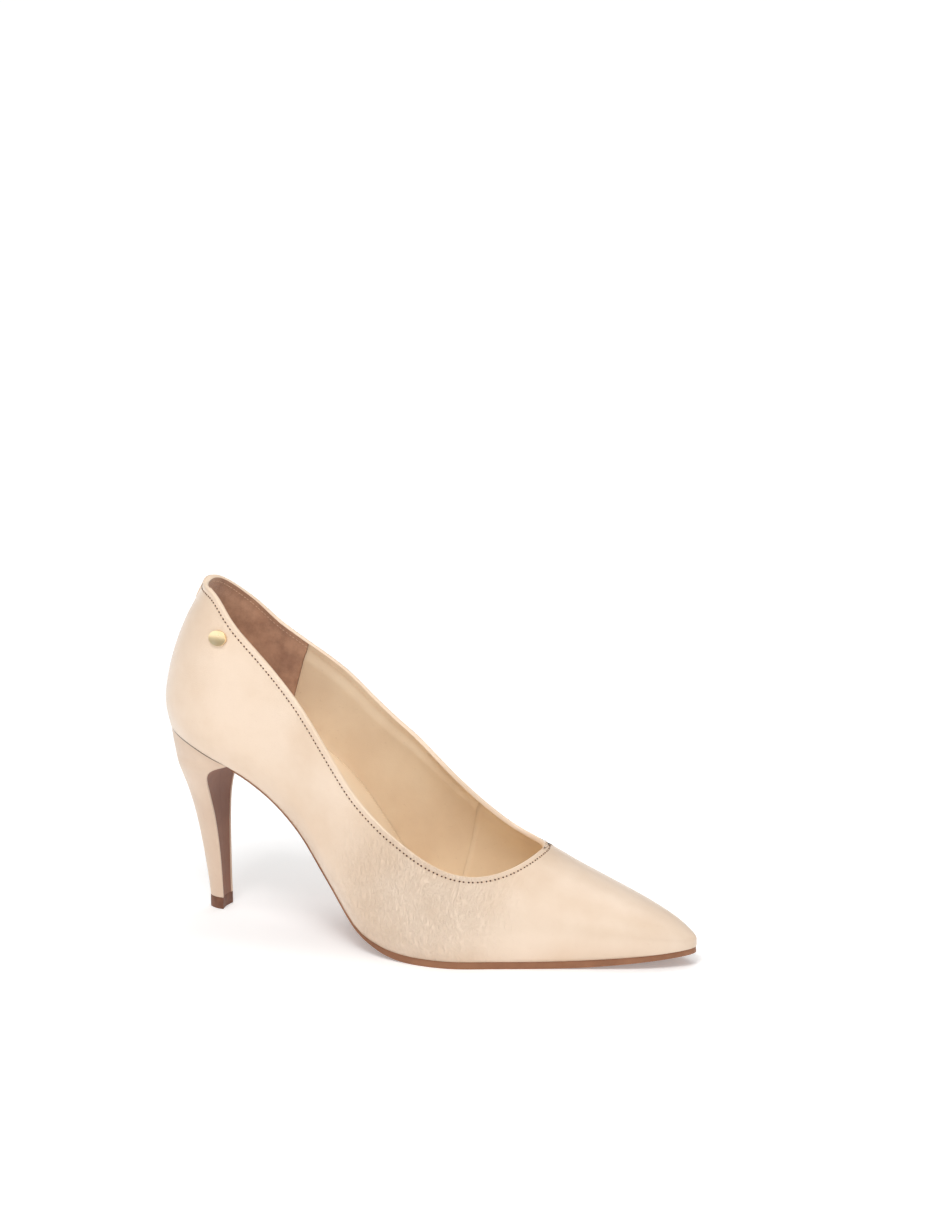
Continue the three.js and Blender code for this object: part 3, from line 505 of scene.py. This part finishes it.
def upperLeather():
    f = Finish("upperLeather")
    place = f.place()
    cloud = f.noise(26, 4, .55)
    fine = f.noise(620, 3, .6)
    colour = f.blend(f.ramp(cloud, .32, .7), linear(231, 204, 177), linear(241, 218, 195))
    colour = f.blend(f.ramp(fine, .6, .85) * .18, colour, linear(206, 168, 136))
    rim = f.attribute("edgeDistance")
    # painted shade: the leather is darkened a little in the groove beside the stitch row
    groove = f.ramp(rim, 1.7, 2.2) * (1 - f.ramp(rim, 2.4, 3.1))
    colour = f.blend(groove * .05, colour, linear(190, 150, 118))
    flexPlace = f.add("ShaderNodeMapping", {"vector_type": "POINT"}, {
        "Vector": place, "Rotation": (0, .55, .35), "Scale": (620, 130, 240)})
    creases = f.ramp(f.noise(1, 5, .62, flexPlace), .34, .66)
    away = f.add("ShaderNodeVectorMath", {"operation": "DISTANCE"}, {
        0: place, 1: (.012, -.036, .03)}, "Value")
    flexing = 1 - f.ramp(away, .012, .055)
    # painted shade: a darker tone is laid into the flex creases in front of the ball, where shade falls in
    # them
    colour = f.blend((1 - creases) * flexing * .1, colour, linear(214, 180, 150))
    pebbles = f.ramp(f.cells(1500), 0, .2)
    pores = f.ramp(f.noise(2600, 2, .6), .4, .75)
    grain = f.bump(pebbles * .5 + pores * .3 + fine * .8, .5, .0001)
    folds = f.bump(creases * flexing, .8, .0007, grain)
    return f.set(colour=colour, rough=f.noise(180, 3) * .12 + .27, normal=folds, coat=.42, coatRough=.24,
                 ior=1.48)


def suedeFinish():
    f = Finish("suede")
    nap = f.noise(120, 5, .7)
    fuzz = f.noise(3200, 3, .8)
    colour = f.blend(f.ramp(nap, .3, .7), linear(160, 117, 92), linear(192, 147, 118))
    colour = f.blend(f.ramp(fuzz, .5, .8) * .35, colour, linear(214, 174, 146))
    normal = f.bump(fuzz + nap * .6, .8, .00018)
    return f.set(colour=colour, rough=.95, sheen=.55, sheenRough=.5, normal=normal)


def plainFinish(name, dark, light, rough, scale=90, fine=1400, depth=.00004, strength=.4, metal=0):
    f = Finish(name)
    colour = f.blend(f.ramp(f.noise(scale, 4, .6), .3, .7), dark, light)
    normal = f.bump(f.noise(fine, 3, .6), strength, depth)
    worn = f.noise(scale * 3, 3) * .2 + (rough - .1)
    return f.set(colour=colour, rough=worn, normal=normal, metal=metal)


def steelFinish():
    f = Finish("steel")
    stretched = f.add("ShaderNodeMapping", {"vector_type": "POINT"}, {
        "Vector": f.place(), "Scale": (60, 2400, 2400)})
    brushed = f.noise(1, 4, .6, stretched)
    colour = f.blend(brushed, linear(150, 154, 160), linear(196, 200, 205))
    return f.set(colour=colour, metal=1.0, rough=brushed * .2 + .25, normal=f.bump(brushed, .2, .00003))


finishes = {
    "upper": upperLeather(),
    "fold": smoothLeather("foldedEdge", linear(244, 220, 194), linear(238, 212, 185), linear(216, 182, 150),
                          .4, .2),
    "heel": smoothLeather("heelLeather", linear(228, 202, 178), linear(220, 192, 168), linear(188, 156, 130),
                          .36, .16, .2, linear(84, 52, 36), (.2, .75)),
    "lining": smoothLeather("liningLeather", linear(240, 219, 190), linear(231, 207, 177),
                            linear(178, 144, 110), .55, .5, 0),
    "sock": smoothLeather("sockLeather", linear(250, 230, 202), linear(244, 221, 191), linear(206, 172, 140),
                          .5, .35, .05),
    "suede": suedeFinish(),
    "breast": smoothLeather("breastCovering", linear(158, 115, 94), linear(143, 101, 82), linear(108, 75, 59),
                            .62, .3, 0, linear(66, 40, 28), (.1, .6)),
    "outsole": plainFinish("outsoleResin", linear(140, 92, 62), linear(158, 108, 76), .5, 70, 900, .00005),
    "topLift": plainFinish("topLift", linear(108, 66, 46), linear(128, 82, 58), .55, 300, 2400, .00005),
    "badge": plainFinish("paleGold", linear(255, 226, 176), linear(255, 238, 202), .3, 90, 900, .000002,
                         .1, 1.0),
    "thread": plainFinish("thread", linear(222, 188, 154), linear(236, 206, 174), .8, 900, 5000, .00005, .6),
    # painted shade: dark brown stands in for the shade inside the needle holes
    "needleHoleShade": plainFinish("needleHoleShade", linear(72, 38, 22), linear(100, 58, 36), .9, 900, 3000, .00004),
    "board": plainFinish("fibreBoard", linear(146, 116, 84), linear(170, 138, 104), .9, 160, 1800,
                         .00008, .6),
    "felt": plainFinish("felt", linear(150, 144, 132), linear(186, 180, 168), .98, 240, 2600, .0001, .9),
    "cloth": plainFinish("backingCloth", linear(206, 200, 188), linear(226, 221, 210), .95, 300, 3000,
                         .0001, .8),
    "foam": plainFinish("latexFoam", linear(236, 228, 206), linear(247, 240, 222), .95, 300, 1200, .0001, .7),
    "plastic": plainFinish("heelPlastic", linear(224, 215, 200), linear(238, 231, 219), .5, 80, 1200,
                           .00003, .3),
    "steel": steelFinish(),
}
print("finishes made:", len(finishes))

upper = {"thickness": 1.2, "bead": .12, "groove": .05, "seamGap": .16, "edge": .22}


def upperOffset(distance, column):
    bead = upper["bead"] * (1 - smooth(distance, 1.1, 2.1))
    groove = upper["groove"] * np.exp(-((distance - 2.35) / .6) ** 2)
    return bead - groove


seam, nearBack = last["sideSeam"], .02
wholeOuter = np.concatenate((backColumns(), foreColumns()))
innerFore = stretch(seam + upper["seamGap"] / 2, last["length"])[::-1]
vamp = wallSheet("upper", [(outer, wholeOuter), (inner, innerFore[1:])], upperOffset)
quarter = wallSheet("quarter", [(inner, stretch(nearBack, seam - upper["seamGap"] / 2))], upperOffset)
outerFaces = BVHTree.FromBMesh(vamp), BVHTree.FromBMesh(quarter)
vampPiece = addPiece("vampAndOuterQuarter", vamp, finishes["upper"], ["vamp_and_outer_quarter"])
quarterPiece = addPiece("innerQuarter", quarter, finishes["upper"], ["inner_quarter"])
thicken(vampPiece, upper["thickness"])
thicken(quarterPiece, upper["thickness"], upper["edge"])
print("upper made")

layers = {"stiffener": (-1.45, .6), "lining": (-2.3, .75), "liningTop": -1.26, "edge": .12}
flat = lambda height: lambda distance, column: np.full_like(distance, height)
ends = {"counter": 74, "puff": 204, "grip": 55.85, "quarter": (56.1, 136.9), "innerQuarter": 136.98,
        "outerVamp": 137.1, "innerVamp": 137, "sheetRows": 30, "counterTop": 5 / 7}
counterColumns = stretch(0, ends["counter"])
around = lambda columns: [(outer, columns[::-1]), (inner, columns[1:])]


def toeRound(outerStart, innerStart=None):
    innerColumns = stretch(innerStart or outerStart, last["length"])
    return [(outer, stretch(outerStart, last["length"])), (inner, innerColumns[-2::-1])]


stiffenerOut, stiffenerThickness = layers["stiffener"]
counter = wallSheet("counter", around(counterColumns), flat(stiffenerOut), -1, ends["counterTop"],
                    ends["sheetRows"])
counterPiece = addPiece("heelCounter", counter, finishes["board"], ["heel_counter"])
puff = wallSheet("puff", toeRound(ends["puff"]), flat(stiffenerOut), -1, 1, ends["sheetRows"])
puffPiece = addPiece("toePuff", puff, finishes["board"], ["toe_puff"])
for piece in (counterPiece, puffPiece):
    thicken(piece, stiffenerThickness)
print("stiffeners made")


# The linings are drawn up against the upper along the topline.
def liningOffset(distance, column):
    return mix(layers["liningTop"], layers["lining"][0], smooth(distance, 2.5, 8))


liningPieces = {
    "heelGripLining": ("heel_grip_lining", "suede", around(stretch(0, ends["grip"]))),
    "outerQuarterLining": ("outer_quarter_lining", "lining", [(outer, stretch(*ends["quarter"]))]),
    "innerQuarterLining": ("inner_quarter_lining", "lining",
                           [(inner, stretch(ends["quarter"][0], ends["innerQuarter"]))]),
    "vampLining": ("vamp_lining", "lining", toeRound(ends["outerVamp"], ends["innerVamp"])),
}
for name, (node, look, sides) in liningPieces.items():
    sheet = wallSheet(name, sides, liningOffset)
    edge = 0 if name == "vampLining" else layers["edge"]
    thicken(addPiece(name, sheet, finishes[look], [node]), layers["lining"][1], edge, 1)
print("linings made")

# The folded topline edge with its stitches.
fold = {"wall": 2.05, "proud": .12, "height": .5, "sectionPoints": 20}


def foldShape(i, j):
    k = i % len(topline["at"])
    angle = 2 * np.pi * j / fold["sectionPoints"]
    half = (fold["wall"] + fold["proud"]) / 2
    centre = topline["at"][k] + topline["normal"][k] * (fold["proud"] - half)
    across = (half * np.cos(angle))[:, None] * topline["normal"][k]
    high = (fold["height"] * np.sin(angle))[:, None] * topline["down"][k]
    return centre + across - high, np.zeros(len(i))


foldMesh = gridMesh(len(topline["at"]), fold["sectionPoints"], foldShape)
bmesh.ops.recalc_face_normals(foldMesh, faces=foldMesh.faces)
addPiece("foldedTopline", foldMesh, finishes["fold"], ["topline_tape"])


def snapped(point):
    found = [tree.find_nearest(Vector(point)) for tree in outerFaces]
    place, normal = min(((f[0], f[1]) for f in found), key=lambda f: (f[0] - Vector(point)).length)
    return place, normal


def beadRow(name, path, pitch, size, material, lift=0, phase=0):
    bm = bmesh.new()
    count = len(path["at"])
    total = count * path["step"]
    stitches = int(total / pitch)
    for n in range(stitches):
        k = int((n + phase) * total / stitches / path["step"]) % count
        place, normal, run = path["at"][k], path["normal"][k], path["run"][k]
        side = Vector(normal).cross(Vector(run)).normalized()
        basis = Matrix((Vector(run), side, Vector(normal))).transposed().to_4x4()
        spot = Vector(place) + Vector(normal) * lift * mm
        matrix = Matrix.Translation(spot) @ basis @ Matrix.Diagonal((*[s * mm for s in size], 1))
        bmesh.ops.create_uvsphere(bm, u_segments=6, v_segments=4, radius=1, matrix=matrix)
    return addPiece(name, bm, material)


def offsetRow(distance):
    at, normals = [], []
    for point, down in zip(topline["at"], topline["down"]):
        place, normal = snapped((point + down * distance + seatBack) * mm)
        at.append(place)
        normals.append(normal)
    runs = [(at[(k + 1) % len(at)] - at[k - 1]).normalized() for k in range(len(at))]
    return {"at": at, "normal": normals, "run": runs, "step": topline["step"] * mm}


stitch = {"inset": 2.1, "pitch": 1.8, "size": (.5, .2, .16), "hole": (.44, .38, .24), "lift": .05,
          "liningSize": (.6, .15, .12), "liningDepth": 2.04, "liningInset": 1.9}
row = offsetRow(stitch["inset"])
beadRow("toplineStitches", row, stitch["pitch"] * mm, stitch["size"], finishes["thread"])
# Dark beads between the stitches are painted shade for the needle holes, laid just proud of the upper.
beadRow("toplineNeedleHoleShades", row, stitch["pitch"] * mm, stitch["hole"], finishes["needleHoleShade"],
        stitch["lift"], .5)
liningRow = {"at": [Vector((p - n * stitch["liningDepth"] + d * stitch["liningInset"] + seatBack) * mm)
                    for p, n, d in zip(topline["at"], topline["normal"], topline["down"])],
             "normal": [Vector(-n) for n in topline["normal"]],
             "run": [Vector(r) for r in topline["run"]], "step": topline["step"] * mm}
beadRow("liningStitches", liningRow, stitch["pitch"] * mm, stitch["liningSize"], finishes["thread"])
print("topline made")

tab = {"outerReach": .3, "innerReach": 13, "depth": 11, "thickness": .6, "columns": 40, "rows": 18}


def tabShape(i, j):
    signed = (i / tab["columns"] - .5) * 2
    side = np.where(signed < 0, float(outer), float(inner))
    turn = turnOf(bySide(side, tab["outerReach"], tab["innerReach"]) * signed ** 2)
    station = stationOf(turn)
    top = toplineLevel(side, station)
    tall = np.linalg.norm(upperPoint(side, turn, top) - upperPoint(side, turn, .9 * top), axis=-1)
    depth = tab["depth"] * np.sqrt(1 - .75 * signed ** 2)
    level = top * (1 - .1 * depth / tall * (1 - j / tab["rows"])) - .002
    at = upperPoint(side, turn, level) + upperNormal(side, turn, level) * (.25 + tab["thickness"])
    return at, edgeDistance(at)


tabMesh = gridMesh(tab["columns"], tab["rows"], tabShape)
faceAway(tabMesh, lambda c: Vector((c.x + .05, seatBack[1] * mm, c.z)))
thicken(addPiece("backTab", tabMesh, finishes["upper"], ["back_tab"]), tab["thickness"] + .2, .25)

badge = {"station": 31, "level": .87, "halfHeight": 3.3, "halfWidth": 4.2, "thickness": 1.0, "rim": .5}


def buildBadge():
    side, turn = np.array([float(outer)]), turnOf(np.array([badge["station"]]))
    level = badge["level"] * toplineLevel(side, np.array([float(badge["station"])]))
    at = Vector((upperPoint(side, turn, level)[0] + seatBack) * mm)
    out = Vector(upperNormal(side, turn, level)[0])
    up = (Vector((0, 0, 1)) - out * out.z).normalized()
    across = up.cross(out)
    bm = bmesh.new()
    bmesh.ops.create_circle(bm, cap_ends=True, segments=64, radius=1)
    bmesh.ops.scale(bm, verts=bm.verts, vec=(badge["halfWidth"] * mm, badge["halfHeight"] * mm, 1))
    grown = bmesh.ops.extrude_face_region(bm, geom=bm.faces[:])
    raised = [part for part in grown["geom"] if isinstance(part, bmesh.types.BMVert)]
    bmesh.ops.translate(bm, verts=raised, vec=(0, 0, badge["thickness"] * mm))
    bm.normal_update()
    top = [face for face in bm.faces if face.normal.z > .9 and face.calc_center_median().z > 1e-4]
    bmesh.ops.inset_region(bm, faces=top, thickness=badge["rim"] * mm, depth=0)
    bmesh.ops.translate(bm, verts=list({v for f in top for v in f.verts}), vec=(0, 0, -.22 * mm))
    bmesh.ops.recalc_face_normals(bm, faces=bm.faces)
    sharp = [e for e in bm.edges if len(e.link_faces) == 2 and e.calc_face_angle() > .6]
    bmesh.ops.bevel(bm, geom=sharp, offset=.12 * mm, segments=3, profile=.5, affect="EDGES", material=-1)
    basis = Matrix((across, up, out)).transposed().to_4x4()
    bmesh.ops.transform(bm, matrix=Matrix.Translation(at) @ basis, verts=bm.verts)
    addPiece("sideBadge", bm, finishes["badge"], ["side_badge"], .5)


buildBadge()
print("tab and badge made")

sock = {"height": 8.95, "thickness": .9, "crown": .5, "clearance": .1, "columns": 120, "across": 28,
        "end": 222, "endShare": .62, "edge": .3}


def wallAtHeight(side, station):
    low, high = np.full(len(station), .02), np.full(len(station), .8)
    depth = layers["lining"][0] - layers["lining"][1] - sock["clearance"]
    for _ in range(22):
        share = (low + high) / 2
        at, out = wallVertex(side, station, share)
        spot = at + out * depth
        height = (spot[:, 2] - bedHeight(spot[:, 0], spot[:, 1])) * bedNormal(spot[:, 0])[:, 2]
        under = height < sock["height"]
        low, high = np.where(under, share, low), np.where(under, high, share)
    return spot


def sockShape(i, j):
    arc = np.pi * sock["endShare"]
    station = sock["end"] * (1 - np.cos(arc * i / sock["columns"])) / (1 - math.cos(arc))
    left = wallAtHeight(np.full(len(i), float(outer)), station)
    right = wallAtHeight(np.full(len(i), float(inner)), station)
    share = (j / sock["across"])
    plan = mix(left[:, :2], right[:, :2], share[:, None])
    height = sock["height"] + sock["crown"] * (1 - (2 * share - 1) ** 4) - sock["crown"]
    return onBed(plan[:, 0], plan[:, 1], height), np.full(len(i), farFromEdge)


sockMesh = gridMesh(sock["columns"], sock["across"], sockShape)
faceAway(sockMesh, lambda c: c - Vector((0, 0, 1)))
sockPiece = addPiece("sockLiner", sockMesh, finishes["sock"], ["sock_liner"])
thicken(sockPiece, sock["thickness"], sock["edge"])

sole = {"inset": .4, "start": 30.5, "tongueInset": 3, "columns": 150, "across": 22, "edge": .8, "toe": 2.5,
        "tongueEnd": (36, 41), "gap": .06, "waist": (95, 125), "toeFrom": (195, 238)}


def soleShape(i, j):
    share = i / sole["columns"]
    skipped = 1 - math.cos(.2 * np.pi)
    spread = (1 - np.cos(np.pi * (.2 + .8 * share)) - skipped) / (2 - skipped)
    station = mix(sole["start"], last["length"], spread)
    inset = sole["inset"] + sole["tongueInset"] * (1 - smooth(station, *sole["tongueEnd"]))
    left = rimPoint(np.full(len(i), float(outer)), turnOf(station), inset)
    right = rimPoint(np.full(len(i), float(inner)), turnOf(station), inset)
    plan = mix(left, right, (j / sole["across"])[:, None])
    return onBed(plan[:, 0], plan[:, 1], -sole["gap"]), np.full(len(i), farFromEdge)


def buildSole():
    bm = gridMesh(sole["columns"], sole["across"], soleShape)
    faceAway(bm, lambda c: c - Vector((0, 0, 1)))
    grown = bmesh.ops.extrude_face_region(bm, geom=bm.faces[:])
    lowered = [part for part in grown["geom"] if isinstance(part, bmesh.types.BMVert)]
    spots = np.array([vert.co for vert in lowered]) / mm - seatBack
    drop = mix(last["waistSole"], last["soleThickness"], smooth(spots[:, 0], *sole["waist"]))
    drop = mix(drop, sole["toe"], smooth(spots[:, 0], *sole["toeFrom"]))
    places = (onBed(spots[:, 0], spots[:, 1], -drop) + seatBack) * mm
    for vert, place in zip(lowered, places):
        vert.co = (place[0], place[1], max(place[2], 0))
    bmesh.ops.recalc_face_normals(bm, faces=bm.faces)
    piece = addPiece("outsole", bm, finishes["outsole"], ["outsole"])
    thin = piece.modifiers.new("edge", "BEVEL")
    thin.width, thin.segments, thin.limit_method = sole["edge"] * mm, 3, "ANGLE"
    thin.angle_limit = math.radians(55)


buildSole()
print("bottom made")

heel = {"foot": 5.25, "tipHalf": 5.5, "tipShift": 3, "front": 38, "inset": .3, "coverTop": .42,
        "coverThickness": .7, "wrap": 1.1, "hollow": .7, "columns": 96, "rows": 80, "liftHeight": 5.2,
        "reach": 1.06, "breastColumns": 24, "breastReach": .985, "liftSection": 5.5, "liftFront": .9,
        "liftEdge": .12}
tall = last["seatHeight"]
heelBack = profile([(s * tall, x) for s, x in ((0, 17.2), (.07, 16.9), (.2, 15.5), (.355, 13.4), (.485, 11.4),
                    (.615, 9), (.745, 6.4), (.85, 4.1), (.935, 2.9), (1, 2.2))])
heelBreast = profile([(s * tall, x) for s, x in ((0, 25.7), (.3, 24.8), (.5, 24), (.62, 23.7), (.71, 24.4),
                      (.765, 26), (.797, 28.5), (.82, 32), (.838, 36), (.85, 38), (1, 38))])
heelSpread = profile([(s * tall, w) for s, w in ((0, 0), (.1, 0), (.3, .05), (.45, .135), (.56, .25),
                      (.66, .43), (.75, .68), (.82, .88), (.88, .98), (.94, 1), (1, 1))])
seatTurn = turnOf(np.array([float(heel["front"])]))[0]
heelFront = np.array([float(heel["front"])])
frontHalf = rounded(heelFront, halfWidth(heelFront, np.array([-1.0])))[0]


def heelPoint(u, z, inset=0):
    inset = heel["inset"] + inset
    rim = rimPoint(np.where(u < 0, float(outer), float(inner)), np.abs(u) * seatTurn)
    back, breast, spread = heelBack(z), heelBreast(z), heelSpread(z)
    depth = np.clip((rim[:, 0] - backLine(0)) / (heel["front"] - backLine(0)), 0, 1)
    halfSpan = mix(heel["tipHalf"], frontHalf, spread)
    y = halfSpan * rim[:, 1] / frontHalf
    middle = (back + breast) / 2
    x = middle + (mix(back, breast, depth) - middle) * (breast - back - 2 * inset) / (breast - back)
    return np.stack((x, heel["tipShift"] * (1 - spread) + y * (halfSpan - inset) / halfSpan, z), -1)


def breastPoint(c, z, inset=0):
    ones = np.ones(len(z))
    point = mix(heelPoint(-ones, z, inset), heelPoint(ones, z, inset), ((1 + c) / 2)[:, None])
    point[:, 0] -= heel["hollow"] * (1 - c * c)
    return point


def coverPoint(u, z):
    width = np.maximum(heelPoint(np.ones(len(z)), z)[:, 1] - heelPoint(-np.ones(len(z)), z)[:, 1], 1)
    over = np.maximum(np.abs(u) - 1, 0) * heel["wrap"] / .06
    c = np.sign(u) * (1 - 2 * over / width)
    return np.where((np.abs(u) > 1)[:, None], breastPoint(c, z), heelPoint(np.clip(u, -1, 1), z))


def heelTop(pointAt, u, gap):
    z = np.full(len(u), .9 * tall)
    for _ in range(30):
        point = pointAt(u, z)
        z = (z + bedHeight(point[:, 0], point[:, 1]) - gap) / 2
    return z


def heelSkin(pointAt, u, v, gap):
    return pointAt(u, mix(heel["foot"], heelTop(pointAt, u, gap), 1 - (1 - v) ** 1.3))


def coverShape(i, j):
    u = heel["reach"] * (2 * i / heel["columns"] - 1)
    skin = heelSkin(coverPoint, u, j / heel["rows"], heel["coverTop"])
    return skin, bedHeight(skin[:, 0], skin[:, 1]) - heel["coverTop"] - skin[:, 2]


def breastShape(i, j):
    c = heel["breastReach"] * (2 * i / heel["breastColumns"] - 1)
    pointAt = lambda s, z: breastPoint(s, z, .1)
    skin = heelSkin(pointAt, c, j / heel["rows"], last["waistSole"] + .05)
    middle = heelSkin(pointAt, np.zeros(len(i)), j / heel["rows"], last["waistSole"] + .05)
    return skin, np.abs(skin[:, 1] - middle[:, 1]) * (heel["breastReach"] / np.maximum(np.abs(c), 1e-3) - 1)


coverMesh = gridMesh(heel["columns"], heel["rows"], coverShape)
faceAway(coverMesh, lambda c: Vector(((21 + seatBack[0]) * mm, seatBack[1] * mm, c.z)))
thicken(addPiece("heelCover", coverMesh, finishes["heel"], ["heel_cover"]),
        heel["coverThickness"], .12)
breastMesh = gridMesh(heel["breastColumns"], heel["rows"], breastShape)
faceAway(breastMesh, lambda c: c - Vector((1, 0, 0)))
thicken(addPiece("breastCover", breastMesh, finishes["breast"], ["breast_cover"]), .5)


def buildTopLift():
    sides = np.linspace(-1, 1, 49)
    front = np.linspace(heel["liftFront"], -heel["liftFront"], 9)
    section = [np.full(len(steps), heel["liftSection"]) for steps in (sides, front)]
    ring = np.vstack((heelPoint(sides, section[0]), breastPoint(front, section[1])))
    bm = bmesh.new()
    corners = [bm.verts.new(Vector(((x + seatBack[0]) * mm, (y + seatBack[1]) * mm, 0))) for x, y, _ in ring]
    base = bm.faces.new(corners)
    grown = bmesh.ops.extrude_face_region(bm, geom=[base])
    raised = [part for part in grown["geom"] if isinstance(part, bmesh.types.BMVert)]
    bmesh.ops.translate(bm, verts=raised, vec=(0, 0, heel["liftHeight"] * mm))
    bmesh.ops.recalc_face_normals(bm, faces=bm.faces)
    rims = [e for e in bm.edges if abs(e.verts[0].co.z - e.verts[1].co.z) < 1e-6]
    bmesh.ops.bevel(bm, geom=rims, offset=heel["liftEdge"] * mm, segments=2, profile=.5, affect="EDGES",
                    material=-1)
    addPiece("topLift", bm, finishes["topLift"], ["top_lift"], .5)


buildTopLift()
print("heel made")

# These pieces stay as they are in the frame.
keptNodes = {"insole_board": "board", "insole_foam": "foam", "forepart_filler": "felt",
             "vamp_backer": "cloth", "heel_core": "plastic", "shank": "steel", "heel_tube": "steel",
             "top_lift_pin": "steel",
             "heel_screw": "steel", "shank_rivet_1": "steel", "shank_rivet_2": "steel"}
keptNodes.update({f"heel_nail_{n}": "steel" for n in range(1, 5)})
for node, look in keptNodes.items():
    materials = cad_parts[node].data.materials
    materials.clear()
    materials.append(finishes[look])

stage = {"floor": 60, "white": .92, "glow": .68, "nearGlow": .36, "near": .3, "far": 1.4}
bm = bmesh.new()
bmesh.ops.create_grid(bm, x_segments=1, y_segments=1, size=stage["floor"])
floorMesh = bpy.data.meshes.new("floor")
bm.to_mesh(floorMesh)
bm.free()
floor = bpy.data.objects.new("floor", floorMesh)
bpy.context.scene.collection.objects.link(floor)
# The floor glows though it is no lamp: painted light, dim near the shoe and full white far off, so the
# backdrop reads white and the contact shadow still shows.
floorFinish = Finish("paleGlowingFloor")
outward = floorFinish.add("ShaderNodeVectorMath", {"operation": "LENGTH"}, {0: floorFinish.place()}, "Value")
glowing = floorFinish.blend(floorFinish.ramp(outward, stage["near"], stage["far"]),
                            (stage["nearGlow"],) * 3 + (1,), (1, 1, 1, 1))
floorFinish.join(floorFinish.shader.inputs["Emission Color"], glowing)
floorFinish.shader.inputs["Emission Strength"].default_value = stage["glow"]
floorMesh.materials.append(floorFinish.set(colour=(stage["white"],) * 3 + (1,), rough=.9))


def addLight(name, place, target, size, power, tint=(1, 1, 1)):
    data = bpy.data.lights.new(name, "AREA")
    data.shape, data.size, data.energy, data.color = "SQUARE", size, power, tint
    light = bpy.data.objects.new(name, data)
    light.location = place
    light.rotation_mode = "QUATERNION"
    light.rotation_quaternion = (Vector(target) - Vector(place)).to_track_quat("-Z", "Y")
    bpy.context.scene.collection.objects.link(light)


addLight("keyLight", (.05, -.75, 1.25), (0, 0, .05), .6, 10.5)
addLight("fillLight", (1.4, -.6, 1.0), (0, 0, .05), 1.2, 1.6)
addLight("backLight", (-.05, .6, 1.6), (-.02, 0, .06), 1.1, 7.5)
world = bpy.data.worlds.new("studio")
bpy.context.scene.world = world
world.use_nodes = True
world.node_tree.nodes["Background"].inputs["Color"].default_value = (1, 1, 1, 1)
world.node_tree.nodes["Background"].inputs["Strength"].default_value = .4

view = {"place": (.590956, -1.511461, .545135), "pitch": 13.8765, "yaw": 20.6743, "lens": 118.403}
camera = bpy.data.objects.new("camera", bpy.data.cameras.new("camera"))
camera.data.lens, camera.data.sensor_width = view["lens"], 36
camera.location = view["place"]
camera.rotation_euler = (math.radians(90 - view["pitch"]), 0, math.radians(view["yaw"]))
bpy.context.scene.collection.objects.link(camera)
bpy.context.scene.camera = camera
bpy.context.scene.view_settings.view_transform = "Standard"
